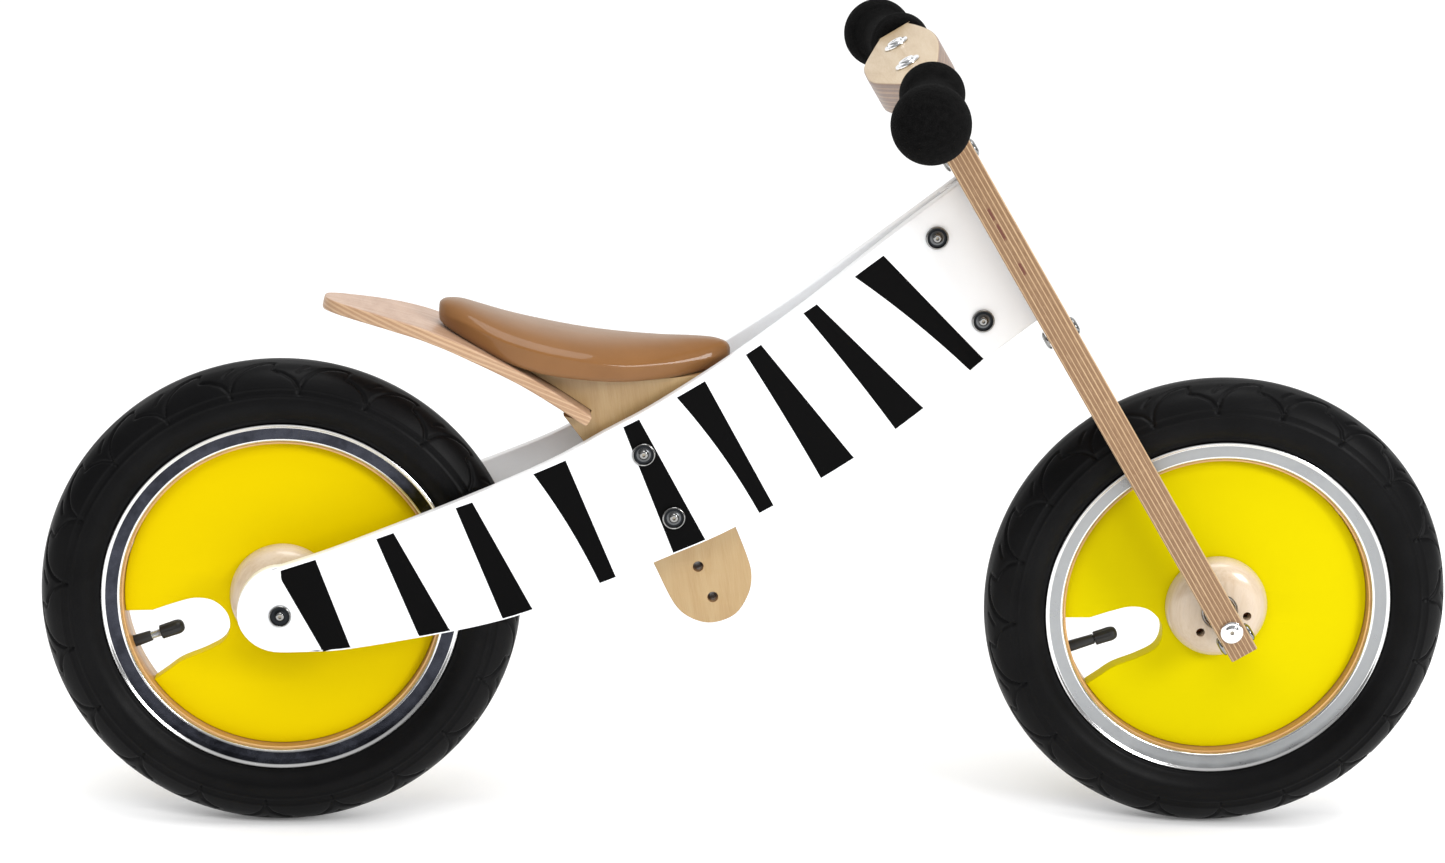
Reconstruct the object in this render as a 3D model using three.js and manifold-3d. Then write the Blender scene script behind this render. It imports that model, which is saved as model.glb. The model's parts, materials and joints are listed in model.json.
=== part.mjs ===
// Child's balance bike: bent-plywood wishbone frame, plywood fork, spokeless disc wheels.
// Millimetres. +X forward, +Y to the rider's left, +Z up. The origin is on the floor,
// on the mid-plane, half way between the two axles.
import * as THREE from 'three';
import { mergeVertices } from 'three/addons/utils/BufferGeometryUtils.js';
import Module from 'manifold-3d';

// ---------------------------------------------------------------- driving dimensions
const WHEELBASE = 592;
const TYRE_R = 148;              // 12 inch wheel, 203 mm bead seat
const TYRE_HALF_W = 22;
const HEAD_ANGLE = THREE.MathUtils.degToRad(32.6);   // steering axis, back from vertical
const REST_STEER = THREE.MathUtils.degToRad(-4.2);   // the front end rests turned right
const GAP = 0.3;                 // left between pieces that touch
const WHEEL_SEGMENTS = 32;

const RIM_R = 110.2;             // outer edge of the rim flange
const RIM_BED_R = 100;           // inside face of the rim
const HOOP_R = [95.6, 99.7];     // plywood hoop that lines the rim
const HOOP_HALF_W = 12.5;
const DISC_R = 94.9;
const DISC_HALF_T = 6;
const BOSS_R = 32.5;             // turned wooden hub boss
const BOSS_FACE_Y = 21;
const BEARING = { outerR: 11, boreR: 4.25, width: 7 };   // 608 ball bearing
const AXLE_R = 4;
const VALVE_ANGLE = THREE.MathUtils.degToRad(200);

const PANEL_T = 9;               // side panels
const HEAD_HALF_W = 12.6;        // outside half width of the frame at the head
const REAR_HALF_W = 54.4;        // outside half width of the frame at the rear axle
const SEAT_HALF_W = 34.4;        // outside half width at the two seat bolts
const WEB_HALF_T = 3.3;          // head block's web, between the panels
const TONGUE_S = [224.5, 324.6]; // lower and upper end of the frame's head, along the steering axis
const PIVOT_R = 5;

const BOARD_HALF_T = 9;          // fork board, 13 plies
const BOARD_HALF_W = 60.2;
const BOARD_S = [-18, 387.1];    // ends of the fork board, from the axle along the steering axis
const SLOT = { halfW: 27.4, top: 168 };              // wheel slot between the fork legs
const WINDOW = { halfW: 23.5, s: [219.5, 329.6] };   // window that the frame's head sits in
const CROSS_BOLT_S = [206, 337];
const LEG_BOLT = { s: -12, y: 44 };
const BAR_S = [387.4, 409.4];      // handlebar block, on top of the board
const BAR_HALF_L = 92;
const STEM_BOLT_Y = 38.5;
const BAR_R = 5.5;
const GRIP = { inner: 105, outer: 181.5, n: 4, innerR: 18.7, outerR: 22.4, neckR: 13, sweep: 0.1346 };

const POST_HALF_T = 18;          // seat post, two 18 mm boards
const TAIL_T = 8;

// ---------------------------------------------------------------- materials
const finish = (color, roughness, metalness = 0) =>
  new THREE.MeshStandardMaterial({ color, roughness, metalness });
const whitePaint = finish(0xf4f4f2, 0.35);
const yellowPaint = finish(0xf7dc00, 0.4);
const birch = finish(0xdcb98c, 0.55);
const palePly = finish(0xe6c9a4, 0.5);
const beech = finish(0xe2b391, 0.5);
const saddleBrown = finish(0xb07a45, 0.3);
const rubber = finish(0x1b1b1c, 0.8);
const foam = finish(0x0c0c0c, 0.95);
const zinc = finish(0xb9bec4, 0.35, 1);
const chrome = finish(0xdfe2e6, 0.15, 1);
const nylon = finish(0x2a2a2a, 0.6);

// ---------------------------------------------------------------- mesh helpers
const wasm = await Module();
wasm.setup();

const vec = (x, y, z) => new THREE.Vector3(x, y, z);

// Merge shared corners, drop collapsed triangles and turn every face outwards.
function clean(geometry) {
  const bare = geometry.clone();
  for (const name of Object.keys(bare.attributes)) {
    if (name !== 'position') bare.deleteAttribute(name);
  }
  const merged = mergeVertices(bare, 1e-4);
  const position = merged.attributes.position;
  const corner = (i) => vec().fromBufferAttribute(position, i);
  const kept = [];
  let volume = 0;
  for (let i = 0; i < merged.index.count; i += 3) {
    const [a, b, c] = [0, 1, 2].map((k) => merged.index.getX(i + k));
    if (a === b || b === c || c === a) continue;
    kept.push(a, b, c);
    volume += corner(a).dot(corner(b).cross(corner(c)));
  }
  if (volume < 0) kept.reverse();
  merged.setIndex(kept);
  return merged;
}

function toSolid(geometry) {
  const merged = clean(geometry);
  return new wasm.Manifold(new wasm.Mesh({
    numProp: 3,
    vertProperties: new Float32Array(merged.attributes.position.array),
    triVerts: new Uint32Array(merged.index.array),
  }));
}

function fromSolid(solid) {
  const mesh = solid.getMesh();
  const geometry = new THREE.BufferGeometry();
  geometry.setAttribute('position', new THREE.BufferAttribute(new Float32Array(mesh.vertProperties), 3));
  geometry.setIndex([...mesh.triVerts]);
  return geometry;
}

const cut = (geometry, ...cutters) =>
  fromSolid(cutters.reduce((solid, cutter) => solid.subtract(toSolid(cutter)), toSolid(geometry)));
const join = (geometry, ...others) =>
  fromSolid(others.reduce((solid, other) => solid.add(toSolid(other)), toSolid(geometry)));

// Solid of revolution about Y from [radius, y] points, closed on itself or ending on the axis.
function lathe(profile, segments, closed = true) {
  const loop = closed ? [...profile, profile[0]] : profile;
  return new THREE.LatheGeometry(loop.map(([r, y]) => new THREE.Vector2(r, y)), segments);
}

const ring = (innerR, outerR, y0, y1, segments) =>
  lathe([[innerR, y0], [outerR, y0], [outerR, y1], [innerR, y1]], segments);

// Cylinder whose axis runs from one point to another.
function rod(from, to, radius, segments = 12) {
  const axis = to.clone().sub(from);
  const geometry = new THREE.CylinderGeometry(radius, radius, axis.length(), segments);
  geometry.applyQuaternion(new THREE.Quaternion().setFromUnitVectors(vec(0, 1, 0), axis.clone().normalize()));
  return geometry.translate(...from.clone().add(to).multiplyScalar(0.5).toArray());
}

// Skin over rings of equal point count, with a flat cap on the first and the last.
function loft(rings) {
  const count = rings[0].length;
  const points = rings.flat();
  const index = [];
  for (let i = 0; i + 1 < rings.length; i++) {
    for (let j = 0; j < count; j++) {
      const a = i * count + j;
      const b = i * count + (j + 1) % count;
      index.push(a, b, b + count, a, b + count, a + count);
    }
  }
  const last = (rings.length - 1) * count;
  for (let j = 1; j + 1 < count; j++) {
    index.push(0, j + 1, j, last, last + j, last + j + 1);
  }
  const geometry = new THREE.BufferGeometry().setFromPoints(points);
  geometry.setIndex(index);
  return geometry;
}

// Flat plate: an outline in X and Z, with its faces at +-halfT in Y.
function plate(outline, halfT, holes = []) {
  const shape = new THREE.Shape(outline.map(([x, z]) => new THREE.Vector2(x, z)));
  shape.holes = holes.map((hole) => new THREE.Path(hole.map(([x, z]) => new THREE.Vector2(x, z))));
  const geometry = new THREE.ExtrudeGeometry(shape, { depth: 2 * halfT, bevelEnabled: false });
  return geometry.rotateX(Math.PI / 2).translate(0, halfT, 0);
}

// Points of an arc in a plane, from one angle to another in radians.
function arc([cx, cy], radius, start, end, steps) {
  return Array.from({ length: steps + 1 }, (_, i) => {
    const angle = start + (end - start) * i / steps;
    return [cx + radius * Math.cos(angle), cy + radius * Math.sin(angle)];
  });
}

const smooth = (points, steps) =>
  new THREE.SplineCurve(points.map(([x, z]) => new THREE.Vector2(x, z))).getPoints(steps)
    .map((p) => [p.x, p.y]);

// Height of a polyline of [x, z] points, given in rising x, at one x.
function heightAt(line, x) {
  const i = Math.min(Math.max(line.findIndex((p) => p[0] >= x), 1), line.length - 1);
  const [[x0, z0], [x1, z1]] = [line[i - 1], line[i]];
  return z0 + (z1 - z0) * (x - x0) / (x1 - x0);
}

// ---------------------------------------------------------------- scene graph
const bike = new THREE.Group();
const rearWheel = new THREE.Group();
const frontEnd = new THREE.Group();      // fork, handlebar and front wheel, turned as they rest
const frontWheel = new THREE.Group();
const steering = new THREE.Group();      // X forward of the board, Z up the steering axis
const REAR_AXLE = vec(-WHEELBASE / 2, 0, TYRE_R);
const FRONT_AXLE = vec(WHEELBASE / 2, 0, TYRE_R);
const STEERING_AXIS = vec(-Math.sin(HEAD_ANGLE), 0, Math.cos(HEAD_ANGLE));
rearWheel.position.copy(REAR_AXLE);
frontEnd.position.copy(FRONT_AXLE);
frontEnd.quaternion.setFromAxisAngle(STEERING_AXIS, REST_STEER);
steering.rotation.y = -HEAD_ANGLE;
frontEnd.add(frontWheel, steering);
bike.add(rearWheel, frontEnd);

function add(parent, name, geometry, material) {
  const mesh = new THREE.Mesh(clean(geometry), material);
  mesh.name = name;
  parent.add(mesh);
}

// Through bolt along Y: a shank with a low round head at each end, outside y0 and y1.
function bolt(y0, y1, shankR, headR = 7.2, headT = 2) {
  const edge = headT * 0.5;
  return lathe([
    [0, y0 - headT], [headR - 2, y0 - headT], [headR, y0 - edge], [headR, y0], [shankR, y0],
    [shankR, y1], [headR, y1], [headR, y1 + edge], [headR - 2, y1 + headT], [0, y1 + headT],
  ], 12, false);
}

// ---------------------------------------------------------------- wheels
function valveAxis(r) {
  return vec(r * Math.cos(VALVE_ANGLE), 0, r * Math.sin(VALVE_ANGLE));
}

function discOutline() {
  // A rounded bay lets a pump reach the valve. It opens at the disc's rim.
  const upperLip = [[-80, -11.5], [-66, -6.5], [-54, -3.4], [-43, -5], [-35, -12], [-32.6, -21]];
  const lowerLip = [[-36, -30.5], [-47, -37.4], [-62, -44], [-71.5, -51]];
  const openFrom = Math.PI + Math.asin(12 / DISC_R);
  const openTo = Math.PI + Math.asin(56.5 / DISC_R);
  return [
    ...arc([0, 0], DISC_R, openTo, openFrom + 2 * Math.PI, 32),
    ...smooth([...upperLip, ...lowerLip], 18),
  ];
}

function addWheel(parent, prefix) {
  const name = (piece) => `${prefix}_${piece}`;
  const valveHole = rod(valveAxis(125), valveAxis(80), 4.4);

  const tyreOuter = [[103.4, 12.3], [110.6, 14.6], [126, TYRE_HALF_W], [137.5, 18.8], [145.6, 10.5]];
  const tyreInner = [[103.4, 8.6], [112, 12.2], [126, 17.4], [138.5, 11.5]];
  const mirrored = (points) => points.map(([r, y]) => [r, -y]).reverse();
  add(parent, name('tyre'), lathe([
    ...tyreOuter, [TYRE_R, 0], ...mirrored(tyreOuter), ...tyreInner.map(([r, y]) => [r, -y]),
    ...tyreInner.slice().reverse(),
  ], WHEEL_SEGMENTS), rubber);

  const tubeSection = (radius) => arc([122, 0], radius, 0, Math.PI * 5 / 3, 5);
  const tubeAir = rod(valveAxis(125), valveAxis(105), 2.5, 8);
  add(parent, name('inner_tube'),
    cut(lathe(tubeSection(11.4), 20), lathe(tubeSection(9.6), 20), tubeAir), rubber);

  const flange = [[RIM_BED_R, 14.4], [RIM_R, 16.8], [RIM_R, 15.2], [103, 13], [102.2, 10]];
  add(parent, name('rim'), cut(lathe([...flange, ...mirrored(flange)], WHEEL_SEGMENTS), valveHole), zinc);
  add(parent, name('rim_hoop'),
    cut(ring(HOOP_R[0], HOOP_R[1], -HOOP_HALF_W, HOOP_HALF_W, WHEEL_SEGMENTS), valveHole), birch);

  const hubScrewAt = (i) => {
    const angle = THREE.MathUtils.degToRad(-8 + 120 * i);
    return vec(18 * Math.cos(angle), 0, 18 * Math.sin(angle));
  };
  const screwHole = (i, radius) => {
    const at = hubScrewAt(i);
    return rod(vec(at.x, -30, at.z), vec(at.x, 30, at.z), radius, 6);
  };
  const screwHoles = [0, 1, 2].map((i) => screwHole(i, 2.8));
  const hubBore = arc([0, 0], 9, 0, 2 * Math.PI, 12).slice(0, -1);
  add(parent, name('disc'), cut(plate(discOutline(), DISC_HALF_T, [hubBore]), ...screwHoles), yellowPaint);

  const seat = BOSS_FACE_Y - BEARING.width;
  for (const [side, sign] of [['right', -1], ['left', 1]]) {
    const boss = [
      [6.5, DISC_HALF_T + GAP], [BOSS_R, DISC_HALF_T + GAP], [BOSS_R - 1, 14],
      [BOSS_R - 7, 19.8], [23, BOSS_FACE_Y], [BEARING.outerR + GAP, BOSS_FACE_Y],
      [BEARING.outerR + GAP, seat - GAP], [6.5, seat - GAP],
    ].map(([r, y]) => [r, sign * y]);
    add(parent, name(`hub_boss_${side}`), cut(lathe(boss, 20), ...screwHoles), palePly);
    add(parent, name(`bearing_${side}`),
      ring(BEARING.boreR, BEARING.outerR, sign * seat, sign * BOSS_FACE_Y, 16), chrome);
  }
  for (const i of [0, 1, 2]) {
    const at = hubScrewAt(i);
    add(parent, name(`hub_screw_${i + 1}`), rod(vec(at.x, -16, at.z), vec(at.x, 16, at.z), 2.3, 6), zinc);
  }

  const along = (profile) => lathe(profile, 10, false).rotateZ(-Math.PI / 2)
    .rotateY(-VALVE_ANGLE);
  add(parent, name('valve_stem'), along([
    [0, 72], [2.6, 72], [2.6, 86], [3.9, 86], [3.9, 109.6], [0, 109.6],
  ]), rubber);
  add(parent, name('valve_cap'), along([
    [0, 65], [3.2, 65], [4.5, 67], [4.5, 80], [3, 80], [3, 71.6], [0, 71.6],
  ]), rubber);
}

addWheel(rearWheel, 'rear');
addWheel(frontWheel, 'front');

// Axle: a bolt with a low head at each end, and a spacer tube on each side of the hub.
function addAxle(parent, prefix, supportY, outerY) {
  add(parent, `${prefix}_axle`, bolt(-outerY, outerY, AXLE_R, 7, 2.2), chrome);
  for (const [side, sign] of [['right', -1], ['left', 1]]) {
    add(parent, `${prefix}_axle_spacer_${side}`,
      ring(AXLE_R + GAP, 6.5, sign * (BOSS_FACE_Y + GAP), sign * supportY, 12), zinc);
  }
}

const frameRear = new THREE.Group();
frameRear.position.copy(REAR_AXLE);
bike.add(frameRear);
addAxle(frameRear, 'rear', REAR_HALF_W - PANEL_T - GAP, REAR_HALF_W + GAP);
addAxle(steering, 'front', SLOT.halfW - GAP, BOARD_HALF_W + GAP);

// ---------------------------------------------------------------- frame
// A point of the steering plane: s along the steering axis from the front axle, n forward of it.
function steer(s, n, y = 0) {
  const up = vec(-Math.sin(HEAD_ANGLE), 0, Math.cos(HEAD_ANGLE));
  const forward = vec(Math.cos(HEAD_ANGLE), 0, Math.sin(HEAD_ANGLE));
  return FRONT_AXLE.clone().addScaledVector(up, s).addScaledVector(forward, n).setY(y);
}

// Panel stations from the rear to the head: upper edge, lower edge, outside half width.
const PANEL_END_N = -BOARD_HALF_T + 1.4;
const headTop = steer(TONGUE_S[1], PANEL_END_N);
const headFoot = steer(TONGUE_S[0], PANEL_END_N);
const stations = [
  [[-296, 178.5], [-292, 124.7], REAR_HALF_W],
  [[-262, 190.5], [-251, 127.6], REAR_HALF_W],
  [[-190, 218], [-164, 142.6], 43.4],
  [[-135, 242], [-101, 165.4], 38],
  [[-101, 261], [-60, 182.6], SEAT_HALF_W],
  [[-72, 277.5], [-28, 197], SEAT_HALF_W],
  [[-26.4, 307], [16, 220], 28.4],
  [[19, 340.3], [66, 251], 21.9],
  [[60, 373.5], [112, 286], 16],
  [[84.5, 393.4], [137, 307.4], HEAD_HALF_W],
  [[headTop.x, headTop.z], [headFoot.x, headFoot.z], HEAD_HALF_W],
];
const upperEdge = new THREE.SplineCurve(stations.map(([top]) => new THREE.Vector2(...top)));
const lowerEdge = new THREE.SplineCurve(stations.map(([, foot]) => new THREE.Vector2(...foot)));

function sidePanel(sign) {
  const section = (top, foot, halfW) => {
    const outer = sign * halfW;
    const inner = sign * (halfW - PANEL_T);
    return [vec(top.x, outer, top.y), vec(foot.x, outer, foot.y),
      vec(foot.x, inner, foot.y), vec(top.x, inner, top.y)];
  };
  const rings = [];
  // Round rear end, as two quarter ellipses about the axle.
  for (let i = 0; i < 6; i++) {
    const angle = 0.18 + (Math.PI / 2 - 0.18) * i / 6;
    const x = REAR_AXLE.x - 26 * Math.cos(angle);
    const top = new THREE.Vector2(x, 149 + 29.5 * Math.sin(angle));
    rings.push(section(top, new THREE.Vector2(x, 149 - 24.3 * Math.sin(angle)), REAR_HALF_W));
  }
  const spans = stations.length - 1;
  for (let i = 0; i <= spans * 2; i++) {
    const t = i / (spans * 2);
    const k = Math.min(Math.floor(t * spans), spans - 1);
    const halfW = THREE.MathUtils.lerp(stations[k][2], stations[k + 1][2], t * spans - k);
    rings.push(section(upperEdge.getPoint(t), lowerEdge.getPoint(t), halfW));
  }
  return loft(rings);
}

const headBoltAt = [[101, 382], [132.7, 330.7]];
const seatBoltAt = [[-77, 247.4], [-57, 207.7]];
const acrossHole = ([x, z], radius, reach = 80) => rod(vec(x, -reach, z), vec(x, reach, z), radius);
const boltHoles = [...headBoltAt, ...seatBoltAt].map((at) => acrossHole(at, 3.3));
const rearAxleHole = acrossHole([REAR_AXLE.x, REAR_AXLE.z], AXLE_R + GAP);
for (const [side, sign] of [['right', -1], ['left', 1]]) {
  add(bike, `side_panel_${side}`, cut(sidePanel(sign), rearAxleHole, ...boltHoles), whitePaint);
}

// Head block: a thin web between the panels and a thick nose that turns on the pivot pin.
const steerPlate = (corners, halfT) => plate(corners.map(([s, n]) => {
  const p = steer(s, n);
  return [p.x, p.z];
}), halfT);
const [headLow, headHigh] = TONGUE_S;
const web = steerPlate([
  [headLow + 1, -32], [headLow + 1, -5], [headHigh - 1, -5], [headHigh - 1, -22],
], WEB_HALF_T);
const nose = steerPlate([
  [headLow + 3, PANEL_END_N + GAP], [headLow, PANEL_END_N + 4], [headLow, 5.5], [headLow + 2.5, 8],
  [headHigh - 2.5, 8], [headHigh, 5.5], [headHigh, PANEL_END_N + 4], [headHigh - 3, PANEL_END_N + GAP],
], HEAD_HALF_W - 0.3);
const pivotBore = rod(steer(headLow - 20, 0), steer(headHigh + 20, 0), PIVOT_R + 0.45, 20);
add(bike, 'head_block', cut(join(web, nose), pivotBore, ...boltHoles), whitePaint);

headBoltAt.forEach(([x, z], i) => {
  add(bike, `head_bolt_${['upper', 'lower'][i]}`,
    bolt(-HEAD_HALF_W - GAP, HEAD_HALF_W + GAP, 3).translate(x, 0, z), chrome);
});

// ---------------------------------------------------------------- seat
seatBoltAt.forEach(([x, z], i) => {
  add(bike, `seat_bolt_${['upper', 'lower'][i]}`,
    bolt(-SEAT_HALF_W - GAP, SEAT_HALF_W + GAP, 3).translate(x, 0, z), chrome);
});

// Tail board's upper face, from the rear tip down to its foot in the post.
const tailTop = smooth([
  [-272.5, 335.8], [-256.6, 332.4], [-232, 327.4], [-208, 321], [-183.6, 311.6], [-153.5, 297.6],
  [-130, 284], [-109, 270.6],
], 14);
const tailSlope = (i) => {
  const [a, b] = [tailTop[Math.max(i - 1, 0)], tailTop[Math.min(i + 1, tailTop.length - 1)]];
  return Math.atan2(b[1] - a[1], b[0] - a[0]);
};
const TAIL_HALF_W = [[-272.5, 4], [-268, 8], [-258, 15], [-240, 24.5], [-226, 29.5], [-205, 34],
  [-180, 36], [-100, 36]];
add(bike, 'tail_board', loft(tailTop.map(([x, z], i) => {
  const slope = tailSlope(i);
  const halfW = heightAt(TAIL_HALF_W, x);
  const [dx, dz] = [TAIL_T * Math.sin(slope), -TAIL_T * Math.cos(slope)];
  return [vec(x, -halfW, z), vec(x, halfW, z), vec(x + dx, halfW, z + dz), vec(x + dx, -halfW, z + dz)];
})), beech);

// Saddle: [x, half width, underside, widest line, top].
const SADDLE = [
  [-202.5, 6, 322.5, 327.5, 332.5],
  [-198, 13, 319.6, 327, 335.6],
  [-189, 22, 315.2, 325.5, 335.2],
  [-177, 30, 310.2, 321.5, 332.4],
  [-161, 36, 302.6, 315.5, 328],
  [-140, 39, 297.2, 309.8, 323.4],
  [-116, 39, 293.8, 305.5, 319],
  [-92, 34.5, 291.8, 301.8, 316.6],
  [-66, 26, 292.4, 301.6, 315.4],
  [-48, 19, 294.3, 302.5, 315.4],
  [-34, 13, 297, 304, 315],
  [-26.5, 8, 299.5, 305.5, 312.8],
  [-23.5, 4, 301.5, 305.8, 310],
];
add(bike, 'saddle', loft(SADDLE.map(([x, halfW, low, wide, top]) => {
  const foot = Math.max(halfW - 3, halfW * 0.7);
  const shoulder = Math.max(halfW - 9, halfW * 0.55);
  const right = [[foot, low], [halfW, wide], [shoulder, top - 1]];
  return [...right.map(([y, z]) => vec(x, -y, z)), ...right.reverse().map(([y, z]) => vec(x, y, z))];
})), saddleBrown);

// Seat post: rounded foot below the panels, a slot for the tail board, and the saddle's seat on top.
const clearOf = (offset) => ([x, z]) => [x, z + offset];
const tailUnder = tailTop.map(([x, z], i) => {
  const slope = tailSlope(i);
  return [x + (TAIL_T + 0.5) * Math.sin(slope), z - (TAIL_T + 0.5) * Math.cos(slope)];
});
const saddleUnder = SADDLE.filter(([x]) => x > -162 && x < -24).map(([x, , low]) => [x, low - 0.5]);
const postFoot = smooth([
  [-66.9, 173.6], [-53.6, 148.5], [-42.8, 138.9], [-29.2, 135.8], [-14.8, 141.4], [-6.9, 154.4],
  [-5.4, 167.4], [-9, 180.2], [-17, 198.3],
], 16);
const postOutline = [
  ...postFoot, [-34, 232], [-44, 258], [-44, 276], [-38, 288], ...saddleUnder.slice().reverse(),
  ...tailTop.filter(([x]) => x > -158).map(clearOf(0.5)), [-107.6, 270.2], [-110.6, 262.6],
  ...tailUnder.filter(([x]) => x < -113 && x > -134).reverse(), [-112.4, 250.5],
];
const spareHoles = [[-39.1, 172.1], [-29.2, 152.5]].map((at) => acrossHole(at, 3.3));
add(bike, 'seat_post', cut(plate(postOutline, POST_HALF_T), ...boltHoles, ...spareHoles), birch);

// Spacer strips fill the gap between the post and each panel at the two seat bolts.
const [upperSeatBolt, lowerSeatBolt] = seatBoltAt.map(([x, z]) => new THREE.Vector2(x, z));
const boltLine = lowerSeatBolt.clone().sub(upperSeatBolt);
const spacerHalfT = (SEAT_HALF_W - PANEL_T - POST_HALF_T) / 2 - GAP;
const spacerOutline = [...arc([0, 0], 9, Math.PI, 0, 8), ...arc([0, -boltLine.length()], 9, 0, -Math.PI, 8)]
  .map(([x, z]) => new THREE.Vector2(x, z).rotateAround(new THREE.Vector2(), boltLine.angle() + Math.PI / 2)
    .add(upperSeatBolt).toArray());
for (const [side, sign] of [['right', -1], ['left', 1]]) {
  const spacer = plate(spacerOutline, spacerHalfT).translate(0, sign * (POST_HALF_T + GAP + spacerHalfT), 0);
  add(bike, `post_spacer_${side}`, cut(spacer, ...boltHoles), nylon);
}

// ---------------------------------------------------------------- fork and steering
const boardOutline = [
  ...[-1, 1].flatMap((sign) => [
    [sign * BOARD_HALF_W, BOARD_S[0]], [sign * (SLOT.halfW + BOARD_HALF_W) / 2, BOARD_S[0] - 2],
    [sign * SLOT.halfW, BOARD_S[0]],
  ]),
];
const [rightLeg, leftLeg] = [boardOutline.slice(0, 3), boardOutline.slice(3).reverse()];
const slotTop = arc([0, SLOT.top - 14], 14, Math.PI, 0, 8)
  .map(([y, s]) => [y + Math.sign(y) * (SLOT.halfW - 14), s]);
const topCorner = (sign) => arc([sign * (BOARD_HALF_W - 6), BOARD_S[1] - 6], 6,
  sign > 0 ? 0 : Math.PI, Math.PI / 2, 3);
const roundedWindow = [[1, 1], [-1, 1], [-1, -1], [1, -1]].flatMap(([u, v], i) => arc(
  [u * (WINDOW.halfW - 5), (v > 0 ? WINDOW.s[1] - 5 : WINDOW.s[0] + 5)], 5,
  i * Math.PI / 2, (i + 1) * Math.PI / 2, 3));
// The outline is drawn in Y and s, then turned so that the board's thickness lies along X.
const board = plate([
  ...rightLeg, ...slotTop, ...leftLeg, ...topCorner(1), ...topCorner(-1).reverse(),
], BOARD_HALF_T, [roundedWindow]).rotateZ(Math.PI / 2);
const alongX = (y, s, radius, reach = 20) => rod(vec(-reach, y, s), vec(reach, y, s), radius);
const alongS = (y, from, to, radius, segments = 12) => rod(vec(0, y, from), vec(0, y, to), radius, segments);
const STEM_BOLT_S = [332, BAR_S[1]];
const [pivotFrom, pivotTo] = [196, 347];
add(steering, 'fork_board', cut(board,
  rod(vec(0, -70, 0), vec(0, 70, 0), AXLE_R + GAP),
  alongS(0, pivotFrom - GAP, BOARD_S[1] + 1, PIVOT_R + GAP),
  ...[-1, 1].map((sign) => alongS(sign * STEM_BOLT_Y, STEM_BOLT_S[0] - GAP, BOARD_S[1] + 1, 3.3)),
  ...CROSS_BOLT_S.map((s) => alongX(0, s, 2.8)),
  ...[-1, 1].map((sign) => alongX(sign * LEG_BOLT.y, LEG_BOLT.s, 2.8)),
), birch);

add(steering, 'pivot_pin', cut(alongS(0, pivotFrom, pivotTo, PIVOT_R, 20),
  ...CROSS_BOLT_S.map((s) => alongX(0, s, 2.8))), zinc);
for (const [name, s] of [['lower', WINDOW.s[0] + GAP], ['upper', TONGUE_S[1] + GAP]]) {
  add(bike, `pivot_washer_${name}`, ring(PIVOT_R + 0.45, 9, s, s + 4.3, 16)
    .rotateX(Math.PI / 2).rotateY(-HEAD_ANGLE)
    .translate(FRONT_AXLE.x, 0, FRONT_AXLE.z), nylon);
}

const crossBolt = () => bolt(-BOARD_HALF_T - GAP, BOARD_HALF_T + GAP, 2.5, 6.1, 2.4).rotateZ(Math.PI / 2);
add(steering, 'cross_bolt_lower', crossBolt().translate(0, 0, CROSS_BOLT_S[0]), chrome);
add(steering, 'cross_bolt_upper', crossBolt().translate(0, 0, CROSS_BOLT_S[1]), chrome);

// Handlebar block: a long plywood lens, thickest at the middle, with square ends.
const barSide = (mid, end) => smooth([
  [BAR_HALF_L, end], [BAR_HALF_L * 0.75, end + (mid - end) * 0.42], [BAR_HALF_L * 0.35, mid * 0.94],
  [0, mid], [-BAR_HALF_L * 0.35, mid * 0.94], [-BAR_HALF_L * 0.75, end + (mid - end) * 0.42],
  [-BAR_HALF_L, end],
], 16);
const barOutline = [...barSide(23.5, 13), ...barSide(-26, -6.5).reverse()];
// The handlebar bows back inside the block, then runs straight through each grip.
function barPoint(y) {
  const bowed = Math.min(Math.abs(y), GRIP.inner);
  const bow = GRIP.sweep * (GRIP.inner ** 2 - bowed ** 2) / (2 * GRIP.inner);
  return vec(GRIP.n + bow - GRIP.sweep * (Math.abs(y) - bowed), y, (BAR_S[0] + BAR_S[1]) / 2);
}
const handlebar = (reach, radius) => loft([-1, -0.56, -0.4, -0.2, 0.2, 0.4, 0.56, 1]
  .map((part) => arc([0, 0], radius, 0, 2 * Math.PI, 12).slice(0, -1)
    .map(([dx, dz]) => barPoint(part * reach).add(vec(dx, 0, dz)))));
const barBlock = new THREE.ExtrudeGeometry(
  new THREE.Shape(barOutline.map(([y, n]) => new THREE.Vector2(n, y))),
  { depth: BAR_S[1] - BAR_S[0], bevelEnabled: false },
).translate(0, 0, BAR_S[0]);
add(steering, 'handlebar_block', cut(barBlock,
  ...[-1, 1].map((sign) => alongS(sign * STEM_BOLT_Y, BAR_S[0] - 5, BAR_S[1] + 5, 3.3)),
  handlebar(186, BAR_R + GAP),
), palePly);
add(steering, 'handlebar', handlebar(186, BAR_R), zinc);

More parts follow.
